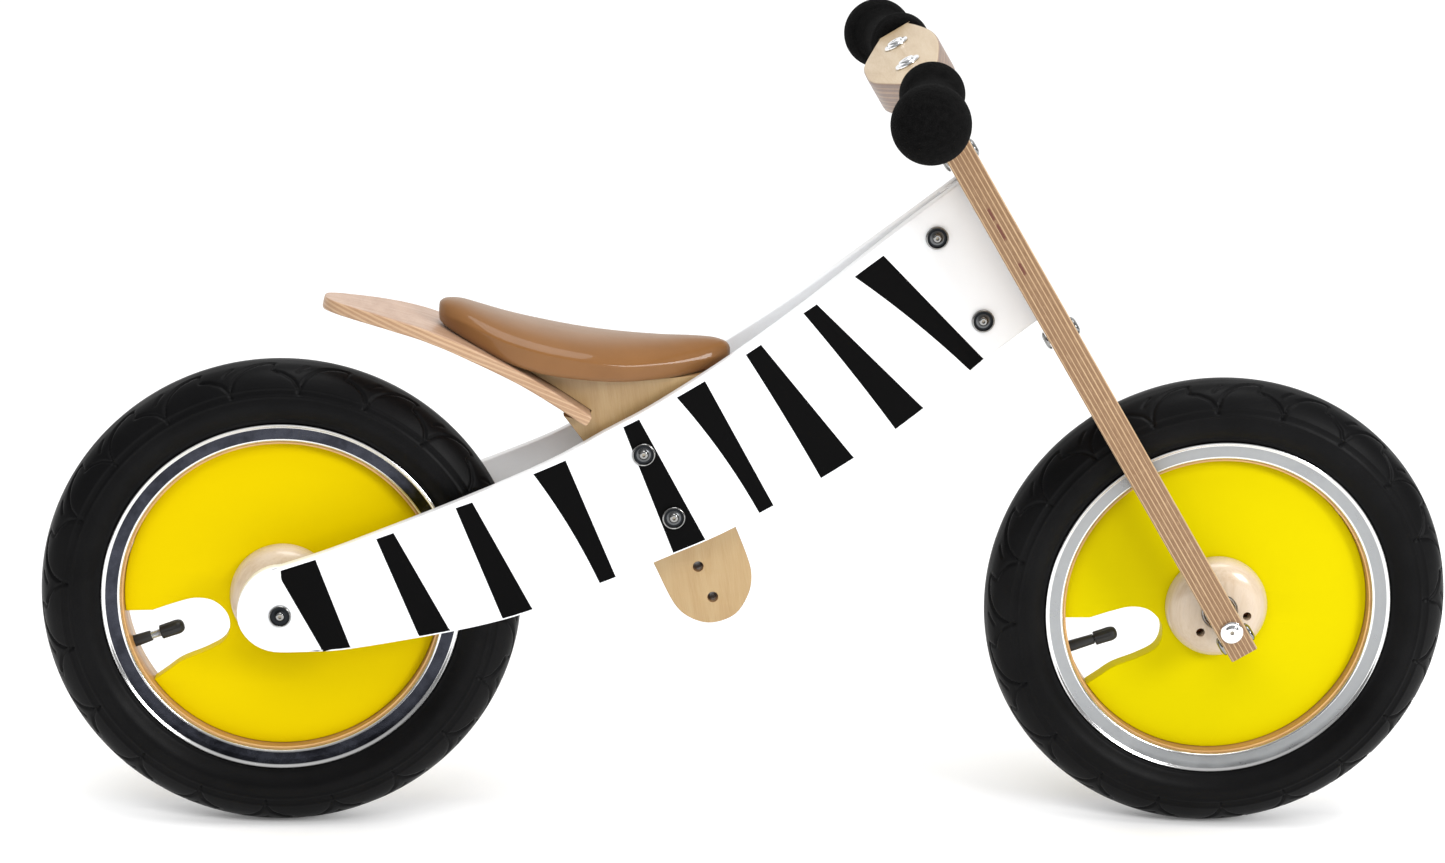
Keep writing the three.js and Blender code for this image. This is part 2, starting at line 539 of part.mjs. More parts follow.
for (const [name, sign] of [['right', -1], ['left', 1]]) {
  const y = sign * STEM_BOLT_Y;
  const leg = crossBolt().translate(0, sign * LEG_BOLT.y, LEG_BOLT.s);
  add(steering, `leg_bolt_${name}`, leg, chrome);

  const stemBolt = lathe([
    [0, STEM_BOLT_S[0]], [3, STEM_BOLT_S[0]], [3, BAR_S[1] + GAP], [8, BAR_S[1] + GAP],
    [8, BAR_S[1] + 1.6], [5.5, BAR_S[1] + 3], [0, BAR_S[1] + 3],
  ], 12, false).rotateX(Math.PI / 2).translate(0, y, 0);
  add(steering, `stem_bolt_${name}`, stemBolt, chrome);

  // Foam grip: a small bulb against the block, a neck, and a large ball at the end.
  const innerStart = BAR_HALF_L + 2.3 - GRIP.inner;
  const span = GRIP.outer - GRIP.inner;
  const bulb = arc([0, 0], 1, Math.PI / 2 + 0.15, Math.PI * 0.2, 5)
    .map(([r, t]) => [GRIP.innerR * r, -GRIP.innerR * t]).filter(([r]) => r > 0);
  const ball = arc([0, 0], 1, -Math.PI * 0.3, Math.PI / 2, 7)
    .map(([r, t]) => [GRIP.outerR * r, span + GRIP.outerR * t]);
  const gripProfile = [
    [BAR_R + GAP, innerStart], [13.5, innerStart],
    ...bulb.filter(([r, t]) => t > innerStart && r > GRIP.neckR),
    [GRIP.innerR, 0], [GRIP.innerR * 0.85, GRIP.innerR * 0.53], [GRIP.neckR, 17],
    [GRIP.neckR, span - GRIP.outerR * 0.86], ...ball.slice(0, -1),
    [0, span + GRIP.outerR], [0, 84], [BAR_R + GAP, 84],
  ];
  const axisTilt = Math.atan(GRIP.sweep);
  const grip = lathe(gripProfile, 16).rotateZ(axisTilt);
  if (sign < 0) grip.scale(1, -1, 1);
  add(steering, `grip_${name}`, grip.translate(...barPoint(sign * GRIP.inner).toArray()), foam);
}

export default bike;
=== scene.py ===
"""Looks of the child's balance bike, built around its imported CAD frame.

Shapes are worked out in millimetres in the row's frame and stored in metres.
"""

import json
import math

import bmesh
import bpy
import numpy as np
from mathutils import Matrix, Vector


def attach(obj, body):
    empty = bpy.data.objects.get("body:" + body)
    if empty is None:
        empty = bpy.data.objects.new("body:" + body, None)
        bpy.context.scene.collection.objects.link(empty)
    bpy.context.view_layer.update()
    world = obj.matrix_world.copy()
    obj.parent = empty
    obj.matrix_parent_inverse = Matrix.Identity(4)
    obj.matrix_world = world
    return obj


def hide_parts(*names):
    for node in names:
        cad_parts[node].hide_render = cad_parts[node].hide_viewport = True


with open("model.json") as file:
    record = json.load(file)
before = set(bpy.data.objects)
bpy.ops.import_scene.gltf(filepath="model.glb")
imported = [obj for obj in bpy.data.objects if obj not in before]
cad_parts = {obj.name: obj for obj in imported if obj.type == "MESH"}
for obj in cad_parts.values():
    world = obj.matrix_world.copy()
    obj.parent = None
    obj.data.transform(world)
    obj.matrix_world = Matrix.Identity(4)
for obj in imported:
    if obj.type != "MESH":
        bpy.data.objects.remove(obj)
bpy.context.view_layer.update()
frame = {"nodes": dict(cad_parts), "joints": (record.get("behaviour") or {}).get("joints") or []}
scene = bpy.context.scene

# ------------------------------------------------------------------ sizes, as in the CAD
MM = 0.001
PANEL_T = 9.0
HEAD_HALF_W = 12.6
REAR_HALF_W = 54.4
SEAT_HALF_W = 34.4
BOARD_HALF_T = 9.0
BOARD_HALF_W = 60.2
BAR_S = (387.4, 409.4)
BAR_MIDDLE = sum(BAR_S) / 2
STEM_BOLT_Y = 38.5
VALVE_ANGLE = math.radians(200)
POST_HALF_T = 18.0
TAIL_T = 7.3


def vec(*values):
    return np.array(values, float)


JOINTS = {joint["name"]: joint for joint in frame["joints"]}
FRONT_HUB = vec(*JOINTS["front_wheel_spin"]["pos_m"]) / MM
REAR_HUB = vec(*JOINTS["rear_wheel_spin"]["pos_m"]) / MM
UP = vec(*JOINTS["steering"]["axis"])
SIDE = vec(0, 1, 0)
SIDES = (("right", -1), ("left", 1))
FORWARD = np.cross(SIDE, UP)
# The front end rests turned about the steering axis. Its pieces are made straight, then turned.
FRONT_AXLE_WAY = vec(*JOINTS["front_wheel_spin"]["axis"])
REST_STEER = math.atan2(-np.dot(FRONT_AXLE_WAY, FORWARD), np.dot(FRONT_AXLE_WAY, SIDE))
TURNED = (Matrix.Translation(FRONT_HUB * MM) @ Matrix.Rotation(REST_STEER, 4, UP)
          @ Matrix.Translation(-FRONT_HUB * MM))


def steer(s, n, y=0.0):
    """A point of the fork: s up the steering axis from the front axle, n forward of it."""
    return FRONT_HUB + UP * s + FORWARD * n + SIDE * y


def add_object(name, data):
    item = bpy.data.objects.new(name, data)
    scene.collection.objects.link(item)
    return item


def final_mesh(item):
    """A new mesh with an object's curves filled and its modifiers applied."""
    bpy.context.view_layer.update()
    return bpy.data.meshes.new_from_object(item.evaluated_get(
        bpy.context.evaluated_depsgraph_get()))


# ------------------------------------------------------------------ camera
LENS = 77.4635                       # with a sensor 36 mm wide
CAMERA_AT = vec(-225.26, -1879.6, 691.06)
CAMERA_TURN = (-6.07, 13.0, 2.32)    # yaw, pitch down and roll, in degrees


def make_camera():
    data = bpy.data.cameras.new("camera")
    data.lens = LENS
    data.sensor_width = 36
    data.clip_end = 100
    camera = add_object("camera", data)
    yaw, pitch, roll = (math.radians(a) for a in CAMERA_TURN)
    look = vec(-math.sin(yaw) * math.cos(pitch), math.cos(yaw) * math.cos(pitch), -math.sin(pitch))
    right = vec(math.cos(yaw), math.sin(yaw), 0)
    up = np.cross(right, look)
    matrix = np.eye(4)
    matrix[:3, 0] = math.cos(roll) * right + math.sin(roll) * up
    matrix[:3, 1] = -math.sin(roll) * right + math.cos(roll) * up
    matrix[:3, 2] = -look
    matrix[:3, 3] = CAMERA_AT * MM
    camera.matrix_world = Matrix(matrix.tolist())
    scene.camera = camera


make_camera()


# ------------------------------------------------------------------ materials
def fill_ramp(ramp, stops):
    """Set a colour ramp's stops, each (place, colour)."""
    while len(ramp.elements) < len(stops):
        ramp.elements.new(0.5)
    for element, (at, color) in zip(ramp.elements, stops):
        element.position = at
        element.color = (*color, 1)


class Nodes:
    """A small wrapper that keeps node building short."""

    def __init__(self, tree):
        self.tree = tree
        coords = self.add("ShaderNodeTexCoord").outputs
        self.point, self.normal, self.way = (coords[name] for name in
                                             ("Object", "Normal", "Generated"))

    def add(self, kind, inputs=None, **props):
        node = self.tree.nodes.new(kind)
        for key, value in props.items():
            setattr(node, key, value)
        for key, value in (inputs or {}).items():
            self.put(node.inputs[key], value)
        return node

    def put(self, socket, value):
        if isinstance(value, bpy.types.NodeSocket):
            self.tree.links.new(value, socket)
        else:
            socket.default_value = value

    def math(self, operation, *values):
        node = self.add("ShaderNodeMath", operation=operation)
        for socket, value in zip(node.inputs, values):
            self.put(socket, value)
        return node.outputs[0]

    def sum(self, a, b):
        return self.math("ADD", a, b)

    def less(self, a, b):
        return self.math("SUBTRACT", a, b)

    def times(self, a, b):
        return self.math("MULTIPLY", a, b)

    def dot(self, direction, source=None):
        node = self.add("ShaderNodeVectorMath", operation="DOT_PRODUCT")
        self.put(node.inputs[0], source or self.point)
        node.inputs[1].default_value = tuple(float(c) for c in direction)
        return node.outputs["Value"]

    def mapped(self, scale, source=None):
        return self.add("ShaderNodeMapping", {"Vector": source or self.point,
                                              "Scale": scale}).outputs[0]

    def vector(self, x, y, z):
        return self.add("ShaderNodeCombineXYZ", {0: x, 1: y, 2: z}).outputs[0]

    def noise(self, vector, scale=1.0, detail=3.0, roughness=0.5, distortion=0.0):
        node = self.add("ShaderNodeTexNoise", {"Vector": vector, "Scale": scale, "Detail": detail,
                                               "Roughness": roughness, "Distortion": distortion})
        return node.outputs["Fac"]

    def cells(self, scale):
        return self.add("ShaderNodeTexVoronoi", {"Vector": self.point,
                                                 "Scale": scale}).outputs["Distance"]

    def ramp(self, factor, *stops):
        node = self.add("ShaderNodeValToRGB", {"Fac": factor})
        fill_ramp(node.color_ramp, stops)
        return node.outputs["Color"]

    def mix(self, factor, a, b):
        node = self.add("ShaderNodeMix", data_type="RGBA")
        self.put(node.inputs["Factor"], factor)
        for socket, value in ((node.inputs[6], a), (node.inputs[7], b)):
            self.put(socket, value if isinstance(value, bpy.types.NodeSocket) else (*value, 1))
        return node.outputs[2]

    def range(self, factor, low, high, out_low=0.0, out_high=1.0):
        node = self.add("ShaderNodeMapRange", {"Value": factor, "From Min": low, "From Max": high,
                                               "To Min": out_low, "To Max": out_high})
        return node.outputs[0]


class Material(Nodes):
    def __init__(self, name):
        self.material = bpy.data.materials.new(name)
        self.material.use_nodes = True
        super().__init__(self.material.node_tree)
        self.shader = self.tree.nodes["Principled BSDF"]

    def set(self, **values):
        for key, value in values.items():
            self.put(self.shader.inputs[key.replace("_", " ")], value)

    def bump(self, height, strength, distance):
        node = self.add("ShaderNodeBump", {"Height": height, "Strength": strength,
                                           "Distance": distance})
        self.set(Normal=node.outputs[0])


def srgb(r, g, b):
    def linear(c):
        c /= 255
        return c / 12.92 if c <= 0.04045 else ((c + 0.055) / 1.055) ** 2.4
    return linear(r), linear(g), linear(b)


def shade(color, share):
    return tuple(share * c for c in color)


def paint(name, color, roughness, variation, specular=0.5, coat=0.15):
    """Sprayed paint on sanded plywood: faint orange peel, and grain that telegraphs through."""
    m = Material(name)
    cloud = m.noise(m.point, 9.0, 4.0)
    m.set(Base_Color=m.mix(m.range(cloud, 0.3, 0.7), shade(color, 1 - 3 * variation), color),
          Roughness=m.range(cloud, 0.3, 0.7, roughness * 0.85, roughness * 1.15),
          Specular_IOR_Level=specular, Coat_Weight=coat, Coat_Roughness=0.12)
    peel = m.noise(m.point, 900.0, 2.0)
    grain = m.noise(m.mapped((30, 30, 900)), 1.0, 2.0)
    m.bump(m.sum(peel, m.times(grain, 0.6)), 0.06, 0.0006)
    return m.material


def wood(name, thickness_axis, grain_axis, face, pale, dark, ply=1.4, phase=0.0,
         edge_pale=None, edge_dark=None, line=0.5, grain_scale=1.0, share=0.5, patches=()):
    """Lacquered plywood. Faces across thickness_axis show one veneer's grain, and every other
    surface shows the plies edge on: long grain and end grain in turn, with a thin glue line.
    share is the pale plies' share of the thickness. patches are dark fillings in one ply, each
    (depth, place along the grain, half length) in mm. Colours are sRGB, from 0 to 255."""
    m = Material(name)
    face, pale, dark, edge_pale, edge_dark = (
        srgb(*color) for color in (face, pale, dark, edge_pale or pale, edge_dark or dark))
    depth = m.dot(thickness_axis / MM)
    along = m.dot(grain_axis / MM)
    across = m.dot(np.cross(thickness_axis, grain_axis) / MM)

    def spread(by_along, by_across, by_depth):
        return m.vector(m.times(along, by_along), m.times(across, by_across),
                        m.times(depth, by_depth))

    def distance(value, middle):
        return m.math("ABSOLUTE", m.less(value, middle))

    # Long streaks, wandering slowly across the grain.
    streak = m.noise(spread(0.012 * grain_scale, 0.11 * grain_scale, 0.11 * grain_scale),
                     1.0, 6.0, 0.62, 0.6)
    fine = m.noise(spread(0.09, 2.4, 2.4), 1.0, 3.0, 0.6)
    broad = m.noise(spread(0.004, 0.03, 1.0), 1.0, 2.0)
    grain = m.sum(m.times(streak, 0.62), m.times(fine, 0.38))
    face_color = m.ramp(grain, (0.3, dark), (0.5, face), (0.68, pale))
    face_color = m.mix(m.range(broad, 0.35, 0.7, 0.0, 0.35), face_color, pale)
    # The plies, seen on the edges: a pale and a dark one in each pair.
    layer = m.sum(m.sum(m.math("DIVIDE", depth, ply), phase), m.times(m.less(streak, 0.5), 0.12))
    pairs = m.times(layer, 0.5)
    within = m.math("FRACT", pairs)
    uneven = m.noise(m.vector(m.times(along, 0.006), 0.0, m.times(m.math("FLOOR", pairs), 3.7)),
                     1.0, 2.0)
    share = m.times(share, m.range(uneven, 0.3, 0.7, 0.55, 1.35))
    from_joint = m.math("MINIMUM", m.math("MINIMUM", within, m.less(1.0, within)),
                        distance(within, share))
    glue = m.math("LESS_THAN", from_joint, 0.035)
    end_grain = m.noise(spread(1.0, 1.0, 1.5), 1.6, 4.0, 0.7)
    rows = m.noise(m.vector(m.times(along, 0.03), 0.0, m.math("FLOOR", layer)), 1.0, 2.0)
    hairs = m.noise(spread(0.16, 0.4, 3.2), 1.0, 4.0, 0.7)
    streaked = tuple(0.8 * p + 0.2 * d for p, d in zip(edge_pale, edge_dark))
    long_ply = m.mix(m.range(grain, 0.35, 0.65), streaked, edge_pale)
    end_ply = m.mix(m.range(end_grain, 0.3, 0.7), shade(edge_dark, 0.8), edge_dark)
    end_ply = m.mix(m.range(hairs, 0.5, 0.8), end_ply, long_ply)
    plies = m.mix(m.math("GREATER_THAN", within, share), long_ply, end_ply)
    plies = m.mix(m.range(rows, 0.35, 0.65, 0.0, 0.3), plies, edge_dark)
    plies = m.mix(m.times(glue, line), plies, shade(edge_dark, 0.55))
    for patch_depth, patch_at, half_length in patches:
        off = m.math("DIVIDE", distance(along, patch_at), half_length)
        thin = m.math("DIVIDE", distance(depth, patch_depth), 1.05)
        inside = m.sum(m.math("MAXIMUM", off, thin), m.times(m.less(end_grain, 0.5), 1.2))
        plies = m.mix(m.range(inside, 1.0, 0.75), plies, srgb(96, 44, 22))
    on_face = m.range(m.math("ABSOLUTE", m.dot(thickness_axis, m.normal)), 0.72, 0.86)
    m.set(Base_Color=m.mix(on_face, plies, face_color),
          Roughness=m.range(grain, 0.3, 0.7, 0.483, 0.378), Coat_Weight=0.25, Coat_Roughness=0.2)
    m.bump(m.sum(m.times(grain, on_face), m.times(m.less(end_grain, glue), 0.8)), 0.12, 0.0008)
    return m.material


def turned_wood(name, hub):
    """Turned hub boss: nearly even pale wood, with a faint grain across the axle."""
    m = Material(name)
    offset = m.add("ShaderNodeVectorMath", {0: m.point, 1: tuple(hub * MM)}, operation="SUBTRACT")
    local = offset.outputs[0]
    grain = m.noise(m.mapped((60, 240, 14), local), 1.0, 5.0, 0.6, 0.4)
    fine = m.noise(m.mapped((500, 1600, 90), local), 1.0, 3.0, 0.6)
    both = m.sum(m.times(grain, 0.7), m.times(fine, 0.3))
    m.set(Base_Color=m.ramp(both, (0.32, srgb(185, 162, 134)), (0.5, srgb(200, 182, 159)),
                            (0.66, srgb(208, 192, 174))),
          Roughness=m.range(both, 0.3, 0.7, 0.34, 0.24), Coat_Weight=0.5, Coat_Roughness=0.12)
    m.bump(both, 0.06, 0.0006)
    return m.material


def tyre_rubber(name):
    m = Material(name)
    cloud = m.noise(m.point, 28.0, 5.0, 0.6)
    speck = m.noise(m.point, 1500.0, 3.0, 0.7)
    m.set(Base_Color=m.ramp(m.times(cloud, speck), (0.12, (0.0018, 0.0018, 0.002)),
                            (0.45, (0.0052, 0.0052, 0.0056))),
          Roughness=m.range(cloud, 0.3, 0.7, 0.46, 0.36), Specular_IOR_Level=0.08)
    m.bump(m.sum(speck, m.times(cloud, 1.5)), 0.15, 0.0005)
    return m.material


def foam(name):
    m = Material(name)
    cloud = m.noise(m.point, 320.0, 4.0, 0.7)
    m.set(Base_Color=m.ramp(cloud, (0.3, (0.0018, 0.0018, 0.0018)),
                            (0.75, (0.006, 0.0058, 0.0058))),
          Roughness=0.93, Specular_IOR_Level=0.04, Sheen_Weight=0.006, Sheen_Roughness=0.6)
    m.bump(m.sum(m.cells(1100.0), cloud), 0.5, 0.0008)
    return m.material


def metal(name, color, rough_low, rough_high, mottle=0.0, scale=40, bump=0.03):
    """Plated or bare metal, with fine wear in its gloss and a faint mottle in its colour."""
    m = Material(name)
    cloud = m.noise(m.mapped((scale, scale, scale)), 1.0, 5.0, 0.6)
    fine = m.noise(m.point, 1400.0, 2.0)
    m.set(Base_Color=m.mix(m.range(cloud, 0.35, 0.65), shade(color, 1 - mottle), color),
          Metallic=1.0, Roughness=m.range(cloud, 0.35, 0.65, rough_low, rough_high))
    m.bump(m.sum(fine, cloud), bump, 0.0004)
    return m.material


def plastic(name, color, roughness):
    m = Material(name)
    cloud = m.noise(m.point, 260.0, 4.0)
    m.set(Base_Color=m.mix(m.range(cloud, 0.3, 0.7), shade(color, 0.8), color),
          Roughness=m.range(cloud, 0.3, 0.7, roughness, roughness * 1.2))
    m.bump(cloud, 0.08, 0.0005)
    return m.material


def saddle_skin(name):
    m = Material(name)
    cloud = m.noise(m.point, 22.0, 4.0, 0.6)
    fine = m.noise(m.point, 700.0, 3.0)
    m.set(Base_Color=m.ramp(cloud, (0.3, srgb(116, 75, 33)), (0.7, srgb(126, 83, 39))),
          Roughness=m.range(cloud, 0.3, 0.7, 0.58, 0.5), Specular_IOR_Level=0.18,
          Coat_Weight=0.36, Coat_Roughness=0.05, Sheen_Weight=0.14, Sheen_Roughness=0.6,
          Sheen_Tint=(0.8, 0.84, 0.7, 1))
    m.bump(m.sum(m.cells(1500.0), fine), 0.05, 0.0004)
    return m.material


WHITE = paint("panel_white_paint", (0.872, 0.886, 0.905), 0.3, 0.004)
BLACK = paint("stripe_black_paint", (0.0022, 0.0022, 0.0023), 0.5, 0.05, 0.04, 0.0)
# Both discs wear the same yellow paint. The two copies differ only as painted light, for how each
# disc is lit.
YELLOW = {
    "front": paint("front_disc_yellow", (0.613, 0.515, 0.0), 0.42, 0.01, 0.02, 0.0),
    "rear": paint("rear_disc_yellow", (0.66, 0.495, 0.0), 0.42, 0.01, 0.02, 0.0),
}
TYRE = tyre_rubber("tyre_rubber")
FOAM = foam("grip_foam")
CHROME = metal("bolt_chrome", (0.86, 0.87, 0.88), 0.06, 0.14)
# The bolts are one plated steel, and these darker copies of it are painted light: a dimmed chrome
# for the dark reflection on cup rims and button heads, near black for the painted shade in the cup
# groove, grey for the painted reflection in the dish, and a warm mid tone for the painted shade and
# warm reflection on the socket floor.
DARKENED_CHROME = metal("bolt_chrome_painted_dark_reflection", (0.3, 0.3, 0.295), 0.08, 0.16, 0.1)
GROOVE_PAINTED_SHADE = metal("bolt_groove_painted_shade", (0.022, 0.024, 0.027), 0.3, 0.45)
DISH_PAINTED_REFLECTION = metal("bolt_dish_painted_reflection", (0.13, 0.135, 0.14), 0.22, 0.36, 0.2)
SOCKET_PAINTED_SHADE = metal("bolt_socket_painted_shade", (0.36, 0.32, 0.26), 0.3, 0.45)
SCREW = metal("hub_screw_bronze", (0.12, 0.045, 0.02), 0.4, 0.6)
ZINC = metal("zinc_plate", (0.62, 0.64, 0.66), 0.22, 0.36, 0.12)
BEARING = metal("bearing_steel", (0.66, 0.67, 0.69), 0.12, 0.22)
# Both rims are the same steel. The two copies differ as painted reflection: the rear's near-black
# colour paints the dark surroundings it reflects.
RIM = {
    "front": metal("front_rim_steel", (0.35, 0.36, 0.37), 0.26, 0.38, 0.1, 55, 0.05),
    "rear": metal("rear_rim_steel_painted_dark_reflection", (0.05, 0.053, 0.068), 0.16, 0.3, 0.5, 95, 0.08),
}
# A pale copy of the rim steel, painted as the highlight along the rolled lips.
RIM_LIP_HIGHLIGHT = metal("rim_lip_painted_highlight", (0.8, 0.8, 0.8), 0.12, 0.2)
NYLON = plastic("black_nylon", (0.02, 0.02, 0.02), 0.5)
CAP = plastic("valve_cap_plastic", (0.008, 0.008, 0.008), 0.45)
TUBE = plastic("inner_tube_rubber", (0.012, 0.012, 0.012), 0.7)
SADDLE = saddle_skin("saddle_skin")
HUB_DEPTH, HUB_ALONG = np.dot(FRONT_HUB, FORWARD), np.dot(FRONT_HUB, UP)
FORK_PATCHES = [(HUB_DEPTH - 1.5, HUB_ALONG + at, half)
                for at, half in ((308.5, 4.6), (296, 6.0), (270, 4.6))]
FORK_PLY = wood("fork_plywood", FORWARD, UP, (196, 166, 130), (208, 184, 151), (172, 138, 99),
                ply=1.385, phase=6.5, edge_pale=(186, 156, 118), edge_dark=(128, 93, 60),
                line=0.4, share=0.28, patches=FORK_PATCHES)
BAR_PLY = wood("handlebar_plywood", UP, SIDE, (189, 163, 124), (200, 178, 142), (170, 140, 101),
               ply=1.57, edge_pale=(142, 108, 76), edge_dark=(110, 77, 52), line=0.3, share=0.4)
POST_WOOD = wood("post_birch", SIDE, vec(0.17, 0, -0.985), (168, 139, 95), (175, 149, 108),
                 (153, 120, 76), ply=2.0, edge_pale=(180, 145, 100), edge_dark=(146, 108, 69))
TAIL_WOOD = wood("tail_beech", vec(0.37, 0, 0.93), vec(-0.93, 0, 0.37), (166, 132, 106),
                 (194, 162, 137), (158, 121, 92), ply=1.33, edge_pale=(188, 156, 124),
                 edge_dark=(168, 132, 100), line=0.2, grain_scale=1.3)
HOOP_WOOD = wood("hoop_plywood", SIDE, vec(1, 0, 0), (196, 152, 92), (206, 164, 104),
                 (168, 122, 64), ply=50.0)


# ------------------------------------------------------------------ mesh helpers
def make_piece(name, verts, faces, materials, body, replaced, indices=None, angle=38.0):
    """A mesh piece from points in mm, on a body, standing for CAD nodes."""
    mesh = bpy.data.meshes.new(name)
    mesh.from_pydata([tuple(v) for v in np.asarray(verts, float) * MM], [],
                     [tuple(int(i) for i in f) for f in faces])
    for material in materials:
        mesh.materials.append(material)
    if indices is not None:
        mesh.polygons.foreach_set("material_index", np.asarray(indices, np.int32))
    tidy(mesh)
    return place(name, mesh, body, replaced, angle)


def tidy(mesh):
    """Merge coincident corners, drop collapsed faces and turn every face outwards."""
    work = bmesh.new()
    work.from_mesh(mesh)
    bmesh.ops.remove_doubles(work, verts=work.verts, dist=1e-6)
    bmesh.ops.dissolve_degenerate(work, dist=1e-7, edges=work.edges)
    bmesh.ops.recalc_face_normals(work, faces=work.faces)
    work.to_mesh(mesh)
    work.free()


def signed_volume(mesh):
    work = bmesh.new()
    work.from_mesh(mesh)
    volume = work.calc_volume(signed=True)
    work.free()
    return volume


def place(name, mesh, body, replaced, angle):
    mesh.shade_smooth()
    mesh.set_sharp_from_angle(angle=math.radians(angle))
    piece = add_object(name, mesh)
    if body in ("fork", "front_wheel"):
        piece.matrix_world = TURNED
    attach(piece, body)
    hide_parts(replaced)
    return piece


def basis(axis):
    """Two unit vectors square to an axis, and the axis itself."""
    axis = np.asarray(axis, float)
    axis = axis / np.linalg.norm(axis)
    helper = vec(0, 0, 1) if abs(axis[2]) < 0.9 else vec(1, 0, 0)
    u = np.cross(helper, axis)
    u /= np.linalg.norm(u)
    return u, np.cross(axis, u), axis


def turned(profile, centre, axis, segments=96, closed=True):
    """Points and quads of a solid of revolution: profile is [radius, along] in mm."""
    u, v, w = basis(axis)
    profile = np.asarray(profile, float)
    angles = np.arange(segments) * 2 * math.pi / segments
    ring = np.cos(angles)[:, None] * u + np.sin(angles)[:, None] * v
    verts = (np.asarray(centre, float) + ring[:, None, :] * profile[None, :, 0, None]
             + w * profile[None, :, 1, None]).reshape(-1, 3)
    count = len(profile)
    faces = []
    for i in range(segments):
        here, there = i * count, (i + 1) % segments * count
        for k in range(count if closed else count - 1):
            n = (k + 1) % count
            faces.append((here + k, there + k, there + n, here + n))
    return verts, faces


def skin(rings):
    """Points and faces of a surface through rings of equal count, with a fan at each end."""
    rings = np.asarray(rings, float)
    count, size = rings.shape[:2]
    verts = np.vstack([rings.reshape(-1, 3), rings[0].mean(0), rings[-1].mean(0)])
    first, last = len(verts) - 2, len(verts) - 1
    around = [(k, (k + 1) % size) for k in range(size)]
    faces = [(i * size + k, i * size + n, (i + 1) * size + n, (i + 1) * size + k)
             for i in range(count - 1) for k, n in around]
    base = (count - 1) * size
    for k, n in around:
        faces += [(first, n, k), (last, base + k, base + n)]
    return verts, faces


def joined(*parts):
    """Several (verts, faces) parts as one."""
    verts, faces, start = [], [], 0
    for part_verts, part_faces in parts:
        verts.append(part_verts)
        faces += [tuple(i + start for i in f) for f in part_faces]
        start += len(part_verts)
    return np.vstack(verts), faces


def spline(points, count):
    """Centripetal-like smooth curve through points, sampled evenly in its parameter."""
    points = np.asarray(points, float)
    padded = np.vstack([2 * points[0] - points[1], points, 2 * points[-1] - points[-2]])
    out = []
    for t in np.linspace(0, len(points) - 1, count):
        i = min(int(t), len(points) - 2)
        f = t - i
        p0, p1, p2, p3 = padded[i:i + 4]
        out.append(0.5 * (2 * p1 + (p2 - p0) * f + (2 * p0 - 5 * p1 + 4 * p2 - p3) * f * f
                          + (3 * p1 - p0 - 3 * p2 + p3) * f ** 3))
    return np.array(out)


def lengths_along(line):
    return np.concatenate([[0], np.cumsum(np.linalg.norm(np.diff(line, axis=0), axis=1))])


def sample(line, lengths, at):
    """Points of a flat line at distances along it."""
    return np.column_stack([np.interp(at, lengths, line[:, i]) for i in (0, 1)])


def left_normals(line):
    """Unit normals of a flat line, to the left of its way."""
    slope = np.gradient(line, axis=0)
    return np.column_stack([-slope[:, 1], slope[:, 0]]) / np.linalg.norm(slope, axis=1)[:, None]


def arc(centre, radius, start, end, steps):
    """Points of an arc, with its angles in degrees."""
    angles = np.radians(np.linspace(start, end, steps + 1))
    return [(centre[0] + radius * math.cos(a), centre[1] + radius * math.sin(a)) for a in angles]


def plate_mesh(name, loops, half_t, bevel, to_world, material):
    """A plate cut from board: flat outlines in mm, thickness 2 * half_t and rounded edges."""
    curve = bpy.data.curves.new(name, "CURVE")
    curve.dimensions = "2D"
    curve.fill_mode = "BOTH"
    curve.extrude = half_t - bevel
    curve.bevel_depth = bevel
    curve.bevel_resolution = 3
    curve.offset = -bevel
    for loop in loops:
        line = curve.splines.new("POLY")
        line.points.add(len(loop) - 1)
        for point, (x, y) in zip(line.points, loop):
            point.co = (x, y, 0, 1)
        line.use_cyclic_u = True
    holder = add_object(name + "_outline", curve)
    mesh = final_mesh(holder)
    bpy.data.objects.remove(holder)
    bpy.data.curves.remove(curve)
    mesh.name = name
    world = np.array([to_world(*v.co) for v in mesh.vertices]) * MM
    mesh.vertices.foreach_set("co", world.astype(np.float32).ravel())
    mesh.materials.clear()
    mesh.materials.append(material)
    tidy(mesh)
    return mesh


def cut_plate(name, loops, half_t, bevel, to_world, material, body, replaced):
    mesh = plate_mesh(name, loops, half_t, bevel, to_world, material)
    place(name, mesh, body, replaced, 30.0)


def laminated(name, layers, bevel, material, body, replaced):
    """Upright plates glued side by side: each is (outlines in x and z, from y, to y)."""
    work = bmesh.new()
    for loops, low, high in layers:
        mesh = plate_mesh(name, loops, (high - low) / 2, bevel,
                          lambda x, z, t: vec(x, (low + high) / 2 + t, z), material)
        work.from_mesh(mesh)
        bpy.data.meshes.remove(mesh)
    mesh = bpy.data.meshes.new(name)
    mesh.materials.append(material)
    work.to_mesh(mesh)
    work.free()
    place(name, mesh, body, replaced, 30.0)


